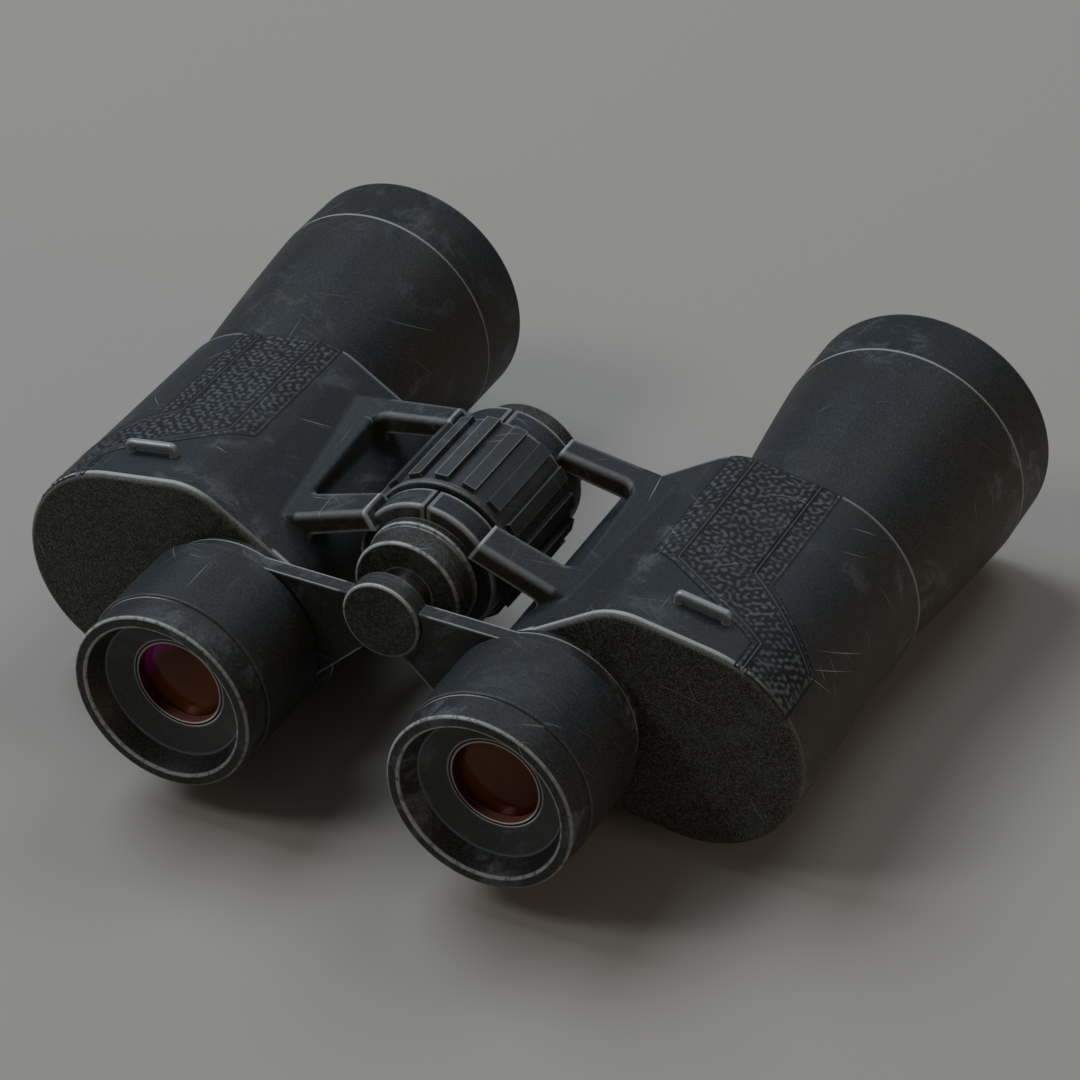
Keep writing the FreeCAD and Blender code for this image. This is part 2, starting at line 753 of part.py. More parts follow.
def guide_collar(name, side):
    """Make the fixed collar that the eyepiece slides on."""
    flange = size("collar_flange")
    rear = -size("collar_reach")
    front = size("cover_depth")
    flange_rear = -size("collar_flange_depth")
    return turned(f"{name}_guide_collar", [
        (size("collar_bore"), rear),
        (size("collar_radius"), rear),
        (size("collar_radius"), flange_rear),
        (flange, flange_rear),
        (flange, Size.of(0)),
        (size("collar_radius"), Size.of(0)),
        (size("collar_radius"), front),
        (size("collar_bore"), front),
    ], size("eye_half") * side, HOUSING_REAR, EYE_Z)


def beam_axes(side):
    """Return the objective, middle and eyepiece beams as x and z."""
    objective = size("objective_half") * side, OBJECTIVE_Z
    eye = size("eye_half") * side, EYE_Z
    middle = (objective[0] + eye[0]) / 2, (OBJECTIVE_Z + EYE_Z) / 2 + BEAM_STEP
    return objective, middle, eye


def prism_shelf(name, side):
    """Make the shelf that both prisms are clipped to, with a hole for each beam."""
    body = new_body(f"{name}_prism_shelf")
    pad(body, housing_section(body, side, SHELF_REAR, -size("wall")), size("shelf_depth"))
    holes = cross_section(body, SHELF_REAR)
    for x, z in beam_axes(side):
        circle(holes, x, z, size("shelf_hole"))
    pocket(body, holes, size("shelf_depth"))
    return keep(body, f"{name}_prism_shelf")


def prism_frame(item, first, second, y):
    """Stand a prism's own frame between two beams, its long side from one to the other."""
    angle = math.degrees(math.atan2((second[1] - first[1]).value, (second[0] - first[0]).value))
    middle = Vector(((first[0] + second[0]) / 2).value, y.value, ((first[1] + second[1]) / 2).value)
    turn = FreeCAD.Rotation(Vector(0, 1, 0), -angle)
    item.Placement = FreeCAD.Placement(middle, turn)


def upright_pad(body, sketch, depth):
    """Raise a plan sketch by the same amount above and below its plane."""
    feature = body.newObject("PartDesign::Pad", "Pad")
    feature.Profile = sketch
    feature.Midplane = True
    feature.setExpression("Length", depth.text)
    return feature


def prism(label, first, second, y, towards):
    """Make one right-angle prism with rounded ends, its roof pointing along towards."""
    width, half = size("prism_width"), PRISM_REACH
    roof = new_body(f"{label}_roof")
    sketch = sketch_on(roof, "XY_Plane")
    polygon(sketch, [(half, Size.of(0)), (Size.of(0), half * towards), (-half, Size.of(0))])
    upright_pad(roof, sketch, width)
    ends = new_body(f"{label}_ends")
    sketch = cross_section(ends, -half)
    radius = width / 2
    reach = half - radius
    belt(sketch, [(reach, Size.of(0), radius, 1), (-reach, Size.of(0), radius, 1)], 1)
    pad(ends, sketch, half * 2)
    glass = DOC.addObject("Part::Common", label)
    glass.Base = roof
    glass.Tool = ends
    prism_frame(glass, first, second, y)
    return keep(glass, label)


def prism_clip(label, first, second, y, towards):
    """Make the spring strap that holds a prism on the shelf."""
    half, over = PRISM_REACH, CLIP_REACH
    body = new_body(label)
    sketch = sketch_on(body, "XY_Plane")
    zero = Size.of(0)
    polygon(sketch, [
        (over, zero),
        (zero, over * towards),
        (-over, zero),
        (-half, zero),
        (zero, half * towards),
        (half, zero),
    ])
    upright_pad(body, sketch, size("clip_width"))
    prism_frame(body, first, second, y)
    return keep(body, label)


def prisms(name, side):
    """Make the two crossed prisms of one side and their clips."""
    objective, middle, eye = beam_axes(side)
    prism(f"{name}_rear_prism", objective, middle, SHELF_REAR, -1)
    prism(f"{name}_front_prism", middle, eye, SHELF_FRONT, 1)
    prism_clip(f"{name}_rear_prism_clip", objective, middle, SHELF_REAR, -1)
    prism_clip(f"{name}_front_prism_clip", middle, eye, SHELF_FRONT, 1)


def barrel(name, side):
    """Make the flared objective barrel that screws into the housing."""
    label = f"{name}_barrel"
    body = new_body(label)
    sketch = sketch_on(body, "XY_Plane")
    length = size("barrel_length")
    rear, front = size("barrel_rear_radius"), size("barrel_front_radius")
    spigot, seat = size("spigot_radius"), size("objective_cell_radius")
    seat_rear = length - size("objective_cell_back")
    wall = size("barrel_wall")
    points = [
        (rear, Size.of(0)),
        (front, length),
        (seat, length),
        (seat, seat_rear),
        (seat - wall / 2, seat_rear),
        (rear - wall, wall * 2),
        (spigot - wall, wall),
        (spigot - wall, -size("front_wall")),
        (spigot, -size("front_wall")),
        (spigot, Size.of(0)),
    ]
    chord = math.hypot(length.value, (front - rear).value)
    half_chord = Size(chord / 2, f"(sqrt({(length * length + (front - rear) * (front - rear)).text}) / 2)")
    curve = sagitta_radius(half_chord, size("barrel_belly"))
    corners = [Vector(x.value, y.value, 0) for x, y in points]
    middle = (corners[0] + corners[1]) / 2
    along = (corners[1] - corners[0]) / chord
    bow = middle + Vector(along.y, -along.x, 0) * size("barrel_belly").value
    sketch.addGeometry(Part.Arc(corners[0], bow, corners[1]))
    for index in range(1, len(points)):
        end = corners[(index + 1) % len(points)]
        sketch.addGeometry(Part.LineSegment(corners[index], end))
    for index in range(len(points)):
        following = (index + 1) % len(points)
        sketch.addConstraint(Sketcher.Constraint("Coincident", index, 2, following, 1))
    for index, (x, y) in enumerate(points):
        pin_point(sketch, index, 1, x, y)
    bind(sketch, "Radius", (0,), curve)
    feature = body.newObject("PartDesign::Revolution", "Turn")
    feature.Profile = sketch
    feature.ReferenceAxis = (sketch, ["V_Axis"])
    place(body, size("objective_half") * side, HOUSING_FRONT, OBJECTIVE_Z)
    return keep(body, label)


def objective_group(name, side):
    """Make the front ring, the lens cell, the lens and its retainer."""
    at = size("objective_half") * side, SEAM_Y, OBJECTIVE_Z
    outer = size("barrel_front_radius")
    seat = size("objective_cell_radius")
    cell_front = size("objective_cell_front")
    length = size("ring_length")
    body = turned(f"{name}_front_ring", [
        (seat, 0),
        (outer, 0),
        (outer, length),
        (seat, length),
    ], *at)
    round_edges(body, size("rim_round"), [(outer, length), (seat, length)])
    glass = size("objective_radius")
    rear = -size("objective_cell_back")
    lip = size("lens_lip")
    lens_rear = cell_front - size("retainer_depth") - size("objective_bulge") - size("objective_edge")
    turned(f"{name}_objective_cell", [
        (glass - lip, rear),
        (seat, rear),
        (seat, cell_front),
        (glass, cell_front),
        (glass, lens_rear),
        (glass - lip, lens_rear - size("seat_relief")),
    ], *at)
    lens(f"{name}_objective_lens", glass, lens_rear, size("objective_edge"), size("objective_bulge"), *at)
    seat_front = lens_rear + size("objective_edge")
    retainer_front = seat_front + size("retainer_depth")
    turned(f"{name}_objective_retainer", [
        (size("aperture"), seat_front + size("seat_relief")),
        (glass, seat_front),
        (glass, retainer_front),
        (size("aperture"), retainer_front),
    ], *at)


def crown_slope():
    """Return the slope in degrees of the flat run of the housing's top."""
    pulleys = [(x.value, z.value, r.value, turn) for x, z, r, turn in housing_pulleys(1, Size.of(0))]
    leave, enter = tangent_run(pulleys[0], pulleys[1])
    run = leave - enter
    return math.degrees(math.atan2(run.y, run.x)), enter


def strap_lug(name, side):
    """Make the strap lug, a staple that stands on the flat run of the housing's top."""
    slope, foot = crown_slope()
    body = new_body(f"{name}_strap_lug")
    sketch = sketch_on(body, "XZ_Plane")
    half, gauge, stand = size("lug_span") / 2, size("lug_gauge"), size("lug_stand")
    zero = Size.of(0)
    polygon(sketch, [
        (half, zero),
        (half, stand),
        (-half, stand),
        (-half, zero),
        (gauge - half, zero),
        (gauge - half, stand - gauge),
        (half - gauge, stand - gauge),
        (half - gauge, zero),
    ])
    pad(body, sketch, gauge)
    DOC.recompute()
    shoulders = [edge for edge in body.Shape.Edges if edge.BoundBox.ZMin > stand.value - 1e-3]
    shoulders = [edge for edge in shoulders if edge.BoundBox.XLength < 1e-3]
    round_named(body, edge_names(body.Shape, shoulders), "lug_bend")
    wire = [edge for edge in body.Shape.Edges if edge.BoundBox.ZMax > 1e-3 and edge.BoundBox.YLength < 1e-3]
    round_named(body, edge_names(body.Shape, wire), "lug_round")
    x = size("lug_x").value
    z = foot.y + (x - foot.x) * math.tan(math.radians(slope))
    turn = FreeCAD.Rotation(Vector(0, 1, 0), -slope * side)
    y = (HOUSING_REAR + size("lug_set")).value
    body.Placement = FreeCAD.Placement(Vector(x * side, y, z), turn)
    return keep(body, f"{name}_strap_lug")


def hinge_axle():
    """Make the hollow axle, slotted for the focus pin."""
    start = REAR_KNUCKLE - size("boss_large_length") - size("boss_small_length")
    body = new_body("hinge_axle")
    sketch = cross_section(body, start)
    circle(sketch, 0, HINGE_Z, size("axle_radius"))
    circle(sketch, 0, HINGE_Z, size("axle_bore"))
    pad(body, sketch, KNUCKLE_END - start)
    slot = sketch_on(body, "XY_Plane", HINGE_Z)
    half = size("axle_radius") + 1
    reach = size("pin_radius") + size("pin_slot_fit")
    rear = PIN_Y - size("focus_back") - reach * 2
    front = PIN_Y + size("focus_over") + reach * 2
    polygon(slot, [(half, rear), (half, front), (-half, front), (-half, rear)])
    DOC.recompute()
    before = body.Shape.Volume
    cut = body.newObject("PartDesign::Pocket", "PinSlot")
    cut.Profile = slot
    cut.Midplane = True
    cut.setExpression("Length", (reach * 2).text)
    DOC.recompute()
    if body.Shape.Volume > before - 1:
        raise RuntimeError("the pin slot wasn't cut")
    return keep(body, "hinge_axle")


def hinge_ends():
    """Make the stepped boss behind the hinge and the tripod cap in front of it."""
    gap = size("side_gap") / 2
    large_rear = -size("boss_large_length")
    small_rear = large_rear - size("boss_small_length")
    small, large = size("boss_small"), size("boss_large")
    body = turned("rear_hinge_boss", [
        (size("axle_radius"), small_rear),
        (small, small_rear),
        (small, large_rear),
        (large, large_rear),
        (large, -gap),
        (size("axle_radius"), -gap),
    ], 0, REAR_KNUCKLE, HINGE_Z)
    round_edges(body, size("boss_round"), [(small, small_rear)])
    round_edges(body, size("edge_round"), [(large, large_rear)])
    cap, front = size("cap_radius"), size("cap_length")
    socket_floor = front - size("socket_depth")
    body = turned("front_hinge_cap", [
        (0, -size("cap_plug_length")),
        (size("axle_bore"), -size("cap_plug_length")),
        (size("axle_bore"), 0),
        (size("axle_bore"), gap),
        (cap, gap),
        (cap, front),
        (size("socket_radius"), front),
        (size("socket_radius"), socket_floor),
        (0, socket_floor),
    ], 0, KNUCKLE_END, HINGE_Z)
    round_edges(body, size("boss_round"), [(cap, front)])


def focus_wheel():
    """Make the focus wheel: the core with its flange, the front plug and the ribbed grip."""
    length = WHEEL_FRONT - WHEEL_REAR
    bore = size("axle_radius") + size("running_fit")
    core, chamber, web = size("core_radius"), size("chamber_radius"), size("core_web")
    flange = size("flange_radius")
    at = 0, WHEEL_REAR, HINGE_Z
    body = turned("wheel_core", [
        (bore, 0),
        (flange, 0),
        (flange, size("flange_length")),
        (core, size("flange_length")),
        (core, length),
        (chamber, length),
        (chamber, web),
        (bore, web),
    ], *at)
    round_edges(body, size("edge_round"), [(flange, 0), (flange, size("flange_length"))])
    ring("wheel_plug", chamber, bore, length - web, web, *at)
    body = new_body("wheel_grip")
    grip_length = length - size("flange_length")
    sketch = cross_section(body, size("flange_length"))
    circle(sketch, 0, 0, size("grip_radius"))
    circle(sketch, 0, 0, core)
    pad(body, sketch, grip_length)
    sketch = cross_section(body, size("flange_length") + size("rib_margin"))
    half = size("rib_width") / 2
    root = size("grip_radius") - 1
    tip = size("rib_radius")
    polygon(sketch, [(-half, root), (half, root), (half, tip), (-half, tip)])
    rib = pad(body, sketch, grip_length - size("rib_margin") * 2)
    pattern = body.newObject("PartDesign::PolarPattern", "Ribs")
    pattern.Originals = [rib]
    pattern.Axis = (plane(body, "Y_Axis"), [""])
    pattern.Angle = 360
    pattern.setExpression("Occurrences", size("rib_count").text)
    body.Tip = pattern
    place(body, *at)
    body.Placement.Rotation = FreeCAD.Rotation(Vector(0, -1, 0), 1)
    body.setExpression("Placement.Rotation.Angle", size("rib_phase").text)
    keep(body, "wheel_grip")


def focus_shaft():
    """Make the shaft that slides in the axle, its cross pin and the cap that holds the bridge."""
    shoulder = BRIDGE_FRONT + size("hub_gap")
    neck_rear = BRIDGE_REAR - size("bridge_cap_over") + size("bridge_cap_seat")
    nose = PIN_Y + size("shaft_nose")
    body = turned("focus_shaft", [
        (0, neck_rear),
        (size("neck_radius"), neck_rear),
        (size("neck_radius"), shoulder),
        (size("shaft_radius"), shoulder),
        (size("shaft_radius"), nose),
        (0, nose),
    ], 0, 0, HINGE_Z)
    sketch = sketch_on(body, "YZ_Plane")
    circle(sketch, PIN_Y, 0, size("pin_radius"))
    DOC.recompute()
    before = body.Shape.Volume
    hole = body.newObject("PartDesign::Pocket", "PinHole")
    hole.Profile = sketch
    hole.Midplane = True
    hole.setExpression("Length", (size("shaft_radius") * 4).text)
    DOC.recompute()
    if body.Shape.Volume > before - 1:
        raise RuntimeError("the pin hole wasn't cut")
    pin = new_body("drive_pin")
    sketch = sketch_on(pin, "YZ_Plane")
    circle(sketch, 0, 0, size("pin_radius"))
    feature = pin.newObject("PartDesign::Pad", "Pad")
    feature.Profile = sketch
    feature.Midplane = True
    feature.setExpression("Length", (size("pin_half") * 2).text)
    place(pin, 0, PIN_Y, HINGE_Z)
    keep(pin, "drive_pin")
    cap_rear = -size("bridge_cap_over")
    cap_front = cap_rear + size("bridge_cap_length")
    seat = cap_rear + size("bridge_cap_seat")
    hub = size("bridge_hub")
    body = turned("bridge_cap", [
        (0, cap_rear),
        (hub, cap_rear),
        (hub, cap_front),
        (size("neck_radius"), cap_front),
        (size("neck_radius"), seat),
        (0, seat),
    ], 0, BRIDGE_REAR, HINGE_Z)
    round_edges(body, size("rim_round"), [(hub, cap_rear)])


def bridge_arm(name, side):
    """Make one arm of the bridge: a plate from the hub to the ring round the eyepiece."""
    body = new_body(f"{name}_bridge_arm")
    eye_x = size("eye_half") * side
    sketch = cross_section(body, BRIDGE_REAR)
    circle(sketch, eye_x, EYE_Z, SLEEVE_RADIUS)
    pad(body, sketch, size("bridge_depth"))
    top = HINGE_Z + size("bridge_top")
    root = size("bridge_root_x") * side
    sketch = cross_section(body, BRIDGE_REAR)
    polygon(sketch, [
        (root, top),
        (eye_x - size("inner_lobe") / 3 * side, top),
        (eye_x, EYE_Z),
        (size("bridge_low_x") * side, EYE_Z - size("bridge_low_drop")),
        (root, HINGE_Z - size("bridge_root_drop")),
    ])
    pad(body, sketch, size("bridge_depth"))
    gap = size("hub_gap")
    hub_room = size("bridge_hub") + gap
    cap_front = BRIDGE_REAR - size("bridge_cap_over") + size("bridge_cap_length")
    first_eye = cap_front + gap
    eye_length = (BRIDGE_FRONT - first_eye - gap) / 2
    second_eye = first_eye + eye_length + gap
    eye_start = second_eye if side > 0 else first_eye
    for start, end in ((BRIDGE_REAR, eye_start), (eye_start + eye_length, BRIDGE_FRONT)):
        if end.value - start.value > 1e-6:
            sketch = cross_section(body, start)
            circle(sketch, 0, HINGE_Z, hub_room)
            pocket(body, sketch, end - start)
    sketch = cross_section(body, eye_start)
    circle(sketch, 0, HINGE_Z, size("bridge_hub"))
    pad(body, sketch, eye_length)
    bore = size("neck_radius") if side > 0 else size("neck_radius") + size("running_fit")
    sketch = cross_section(body, BRIDGE_REAR)
    circle(sketch, 0, HINGE_Z, bore)
    circle(sketch, eye_x, EYE_Z, SLEEVE_BORE)
    pocket(body, sketch, size("bridge_depth"))
    return keep(body, f"{name}_bridge_arm")


def eyepiece(name, side):
    """Make one eyepiece: sleeve, outer tube, eyecup, lens cell, two lenses and the lens ring."""
    at = size("eye_half") * side, RIM_Y, EYE_Z
    bridge_rear = BRIDGE_REAR - RIM_Y
    ring(f"{name}_eyepiece_sleeve", SLEEVE_RADIUS, SLEEVE_BORE, SLEEVE_REAR, bridge_rear - SLEEVE_REAR, *at)
    cup = size("cup_length")
    body = ring(f"{name}_eyepiece_tube", size("tube_radius"), TUBE_BORE, cup, size("tube_length"), *at)
    outer = size("tube_radius")
    round_edges(body, size("edge_round"), [(outer, cup), (outer, cup + size("tube_length"))])
    eyecup(name, at)
    eye_cell(name, at)
    ring_rear = size("dish_set") + size("dish_depth")
    lens_rear = ring_rear + size("eye_ring_depth") + size("eye_lens_recess")
    turned(f"{name}_eye_ring", [
        (size("eye_ring_bore"), ring_rear),
        (size("eye_ring_outer"), ring_rear),
        (size("eye_ring_outer"), ring_rear + size("eye_ring_depth")),
        (size("eye_lens_radius"), ring_rear + size("eye_ring_depth")),
        (size("eye_lens_radius"), lens_rear),
        (size("eye_ring_bore"), lens_rear - size("seat_relief")),
    ], *at)
    edge, bulge = size("eye_lens_edge"), size("eye_lens_bulge")
    lens(f"{name}_eye_lens", size("eye_lens_radius"), lens_rear, edge, bulge, *at)
    edge, bulge = size("field_lens_edge"), size("field_lens_bulge")
    lens(f"{name}_field_lens", size("cell_bore"), size("field_lens_set"), edge, bulge, *at)


def eyecup(name, at):
    """Make the eyecup with its rounded rim and the counterbore for the lens cell's flange."""
    outer, mouth, rim = size("cup_radius"), size("cup_mouth"), size("cup_round")
    wall_bore = size("dish_radius") + size("running_fit")
    body = turned(f"{name}_eyecup", [
        (mouth, 0),
        (outer, 0),
        (outer, size("cup_length")),
        (TUBE_BORE, size("cup_length")),
        (TUBE_BORE, size("flange_set")),
        (wall_bore, size("flange_set")),
        (wall_bore, size("dish_set")),
    ], *at)
    round_edges(body, rim, [(outer, 0)])
    round_edges(body, size("edge_round"), [(mouth, 0)])


def eye_cell(name, at):
    """Make the lens cell: a dish round the eye lens, a flange and the tube of the field lens."""
    dish, ring_rear = size("dish_radius"), size("dish_set") + size("dish_depth")
    ring_front = ring_rear + size("eye_ring_depth")
    lens_rear = ring_front + size("eye_lens_recess")
    lens_front = lens_rear + size("eye_lens_edge")
    flange_front = size("flange_set") + size("flange_depth")
    tube, bore = size("cell_radius"), size("cell_bore")
    glass, lip = size("eye_lens_radius"), size("lens_lip")
    cell_front = flange_front + size("cell_length")
    turned(f"{name}_eye_cell", [
        (dish, size("dish_set")),
        (dish, size("flange_set")),
        (SLEEVE_RADIUS, size("flange_set")),
        (SLEEVE_RADIUS, flange_front),
        (tube, flange_front),
        (tube, cell_front),
        (bore, cell_front),
        (bore, lens_front + lip),
        (glass - lip, lens_front + lip),
        (glass - lip, lens_front + size("seat_relief")),
        (glass, lens_front),
        (glass, ring_front),
        (size("eye_ring_outer"), ring_front),
        (size("eye_ring_outer"), ring_rear),
    ], *at)


def half_instrument(name, side):
    """Make every piece that one half has and the other mirrors."""
    housing(name, side)
    rear_cover(name, side)
    guide_collar(name, side)
    prism_shelf(name, side)
    prisms(name, side)
    barrel(name, side)
    objective_group(name, side)
    strap_lug(name, side)
    bridge_arm(name, side)
    eyepiece(name, side)


def check_document():
    """Stop if any object failed or any sub-part has no valid solid."""
    DOC.recompute()
    for item in DOC.Objects:
        if "Invalid" in item.State or "Error" in item.State:
            raise RuntimeError(f"{item.Label} failed: {item.State}")
    for label, item in PARTS.items():
        shape = item.Shape
        if shape.isNull() or not shape.isValid() or not shape.Solids:
            raise RuntimeError(f"{label} has no valid solid")


def write_parts():
    """Write one STEP file for each sub-part."""
    os.makedirs("parts", exist_ok=True)
    for label, item in PARTS.items():
        item.Shape.exportStep(f"parts/{label}.step")


half_instrument("right", 1)
half_instrument("left", -1)
hinge_axle()
hinge_ends()
focus_wheel()
focus_shaft()
check_document()
write_parts()
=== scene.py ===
"""Visual model of wide-angle binoculars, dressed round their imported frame."""

from __future__ import annotations

import logging
import math
from dataclasses import dataclass, field
from enum import Enum
from typing import Sequence

import bpy
from mathutils import Euler, Matrix, Vector, noise

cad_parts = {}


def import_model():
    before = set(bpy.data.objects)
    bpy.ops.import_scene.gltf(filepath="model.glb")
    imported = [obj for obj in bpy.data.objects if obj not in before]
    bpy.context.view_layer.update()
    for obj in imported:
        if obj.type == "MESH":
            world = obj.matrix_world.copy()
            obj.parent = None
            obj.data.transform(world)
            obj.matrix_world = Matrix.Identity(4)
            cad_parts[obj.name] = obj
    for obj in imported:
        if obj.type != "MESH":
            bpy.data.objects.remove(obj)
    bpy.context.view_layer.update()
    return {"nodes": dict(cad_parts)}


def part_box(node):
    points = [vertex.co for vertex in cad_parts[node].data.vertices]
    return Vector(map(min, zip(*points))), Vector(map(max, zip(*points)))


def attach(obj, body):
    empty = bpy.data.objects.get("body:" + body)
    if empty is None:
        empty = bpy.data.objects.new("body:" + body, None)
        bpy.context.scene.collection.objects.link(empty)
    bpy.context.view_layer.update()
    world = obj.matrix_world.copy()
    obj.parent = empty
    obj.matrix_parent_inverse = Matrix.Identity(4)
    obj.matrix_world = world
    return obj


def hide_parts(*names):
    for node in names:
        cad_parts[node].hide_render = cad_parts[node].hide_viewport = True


LOG = logging.getLogger("binoculars")
MM = 0.001
SEED = 7
SPIRAL_TURN = 2.4  # radians from one way to the next, near the golden angle

Colour = tuple[float, float, float]
Range = tuple[float, float]
Line = Sequence[tuple[float, float]]
Socket = bpy.types.NodeSocket


class Side(Enum):
    """The two halves, each with the sign of its x."""

    RIGHT = 1
    LEFT = -1

    @property
    def prefix(self) -> str:
        """Return the start of this half's node names."""
        return self.name.lower()

    @property
    def body(self) -> str:
        """Return the body that this half's housing rides on."""
        return f"{self.prefix}_half"


# ---------------------------------------------------------------- wiring


class Wiring:
    """Short calls that add and join nodes in one node tree."""

    # The numbers of a Mix node's sockets for colours, which share their names with its others.
    mix_factor, mix_first, mix_second, mix_result = 0, 6, 7, 2

    def __init__(self, tree: bpy.types.NodeTree) -> None:
        """Keep the tree.

        Args:
            tree: The node tree to add to.
        """
        self.tree = tree

    def add(self, kind: str, inputs: dict | None = None, **settings: object) -> bpy.types.Node:
        """Add a node.

        Args:
            kind: The node's type name, without its "ShaderNode" start.
            inputs: A value or a source socket for each named or numbered input.
            settings: The node's own settings.

        Returns:
            The new node.
        """
        node = self.tree.nodes.new(kind if kind.startswith("Node") else f"ShaderNode{kind}")
        for name, value in settings.items():
            setattr(node, name, value)
        for key, value in (inputs or {}).items():
            self.feed(node.inputs[key], value)
        return node

    def feed(self, socket: Socket, value: object) -> None:
        """Link a source socket to an input, or set the input's own value.

        Args:
            socket: The input.
            value: A source socket, a number, a colour or a vector.
        """
        if isinstance(value, Socket):
            self.tree.links.new(value, socket)
        elif isinstance(value, (int, float)) or len(value) == len(socket.default_value):
            socket.default_value = value
        else:
            socket.default_value = (*value, 1.0)

    def math(self, operation: str, *values: object) -> Socket:
        """Return the result of a Math node.

        Args:
            operation: The node's operation.
            values: One to three numbers or sockets.

        Returns:
            The node's value.
        """
        return self.add("Math", dict(enumerate(values)), operation=operation).outputs[0]

    def times(self, first: object, second: object) -> Socket:
        """Return the product of two numbers or sockets."""
        return self.math("MULTIPLY", first, second)

    def vector(self, operation: str, *values: object) -> bpy.types.NodeOutputs:
        """Return the outputs of a Vector Math node.

        Args:
            operation: The node's operation.
            values: One or two vectors or sockets.

        Returns:
            The outputs, named Vector and Value.
        """
        return self.add("VectorMath", dict(enumerate(values)), operation=operation).outputs

    def dot(self, first: object, second: object) -> Socket:
        """Return the dot product of two vectors."""
        return self.vector("DOT_PRODUCT", first, second)["Value"]

    def mix(self, factor: object, first: object, second: object) -> Socket:
        """Return a mix of two colours.

        Args:
            factor: How much of the second shows.
            first: The colour at 0.
            second: The colour at 1.

        Returns:
            The mixed colour.
        """
        node = self.add("Mix", data_type="RGBA")
        self.feed(node.inputs[self.mix_factor], factor)
        self.feed(node.inputs[self.mix_first], first)
        self.feed(node.inputs[self.mix_second], second)
        return node.outputs[self.mix_result]

    def band(self, value: object, low: float, high: float, start: float = 0.0, end: float = 1.0) -> Socket:
        """Return a value eased from start to end while it goes from low to high.

        Args:
            value: The number to ease.
            low: Where the easing starts.
            high: Where it ends.
            start: The result at low and before.
            end: The result at high and after.

        Returns:
            The eased value.
        """
        inputs = {0: value, 1: low, 2: high, 3: start, 4: end}
        return self.add("MapRange", inputs, interpolation_type="SMOOTHSTEP").outputs[0]

    def fade(self, value: object, low: float, high: float) -> Socket:
        """Return 1 up to low, 0 from high on, and an eased value between them."""
        return self.band(value, low, high, 1.0, 0.0)

    def noise(
        self, place: object, scale: object, detail: float = 2.0, rough: float = 0.5, warp: float = 0.0,
    ) -> Socket:
        """Return a noise pattern.

        Args:
            place: The coordinates, in metres.
            scale: Features per metre.
            detail: Octaves.
            rough: How strong the finer octaves are.
            warp: Distortion.

        Returns:
            The noise, from 0 to 1.
        """
        inputs = {"Vector": place, "Scale": scale, "Detail": detail, "Roughness": rough, "Distortion": warp}
        return self.add("TexNoise", inputs).outputs[0]

    def place(self) -> Socket:
        """Return the place on the surface, in metres."""
        return self.add("TexCoord").outputs["Object"]

    def facing(self) -> Socket:
        """Return the way the surface faces at rest."""
        return self.add("TexCoord").outputs["Normal"]

    def axes(self, vector: object) -> bpy.types.NodeOutputs:
        """Return a vector's x, y and z."""
        return self.add("SeparateXYZ", {0: vector}).outputs

    def from_point(self, centre: tuple[float, float, float]) -> Socket:
        """Return the way from a point to the surface, in metres."""
        return self.vector("SUBTRACT", self.place(), centre)["Vector"]

    def from_axis(self, centre: tuple[float, float, float]) -> Socket:
        """Return the distance in metres from the lengthwise axis through a point."""
        flat = self.vector("MULTIPLY", self.from_point(centre), (1, 0, 1))["Vector"]
        return self.vector("LENGTH", flat)["Value"]


def blank_material(name: str) -> tuple[bpy.types.Material, Wiring]:
    """Make a material with no nodes.

    Args:
        name: Its name.

    Returns:
        The material and its wiring.
    """
    made = bpy.data.materials.new(name)
    made.use_nodes = True
    made.node_tree.nodes.clear()
    return made, Wiring(made.node_tree)


class Effect:
    """A shader node group that several finishes share."""

    name = "effect"
    takes: dict[str, float | None] = {}
    gives: tuple[str, ...] = ("Mask",)

    def group(self) -> bpy.types.NodeTree:
        """Return this effect's node group, built at its first use.

        Returns:
            The node group.
        """
        found = bpy.data.node_groups.get(self.name)
        if found:
            return found
        tree = bpy.data.node_groups.new(self.name, "ShaderNodeTree")
        for name, default in {"Place": None, **self.takes}.items():
            kind = "NodeSocketVector" if default is None else "NodeSocketFloat"
            socket = tree.interface.new_socket(name, in_out="INPUT", socket_type=kind)
            if default is not None:
                socket.default_value = default
        for name in self.gives:
            tree.interface.new_socket(name, in_out="OUTPUT", socket_type="NodeSocketFloat")
        wires = Wiring(tree)
        source = wires.add("NodeGroupInput").outputs
        target = wires.add("NodeGroupOutput").inputs
        for name, value in self.wire(wires, source).items():
            wires.feed(target[name], value)
        return tree

    def wire(self, wires: Wiring, source: bpy.types.NodeOutputs) -> dict[str, object]:
        """Wire the inside of the group.

        Args:
            wires: The group's wiring.
            source: The group's inputs.

        Returns:
            A socket for each of the group's outputs.
        """
        raise NotImplementedError

    def put(self, wires: Wiring, **inputs: object) -> bpy.types.NodeOutputs:
        """Put the group in a material.

        Args:
            wires: The material's wiring.
            inputs: The group's inputs, with a first capital added.

        Returns:
            The outputs of the group in its place.
        """
        node = wires.add("Group", node_tree=self.group())
        for name, value in inputs.items():
            wires.feed(node.inputs[name.capitalize()], value)
        return node.outputs


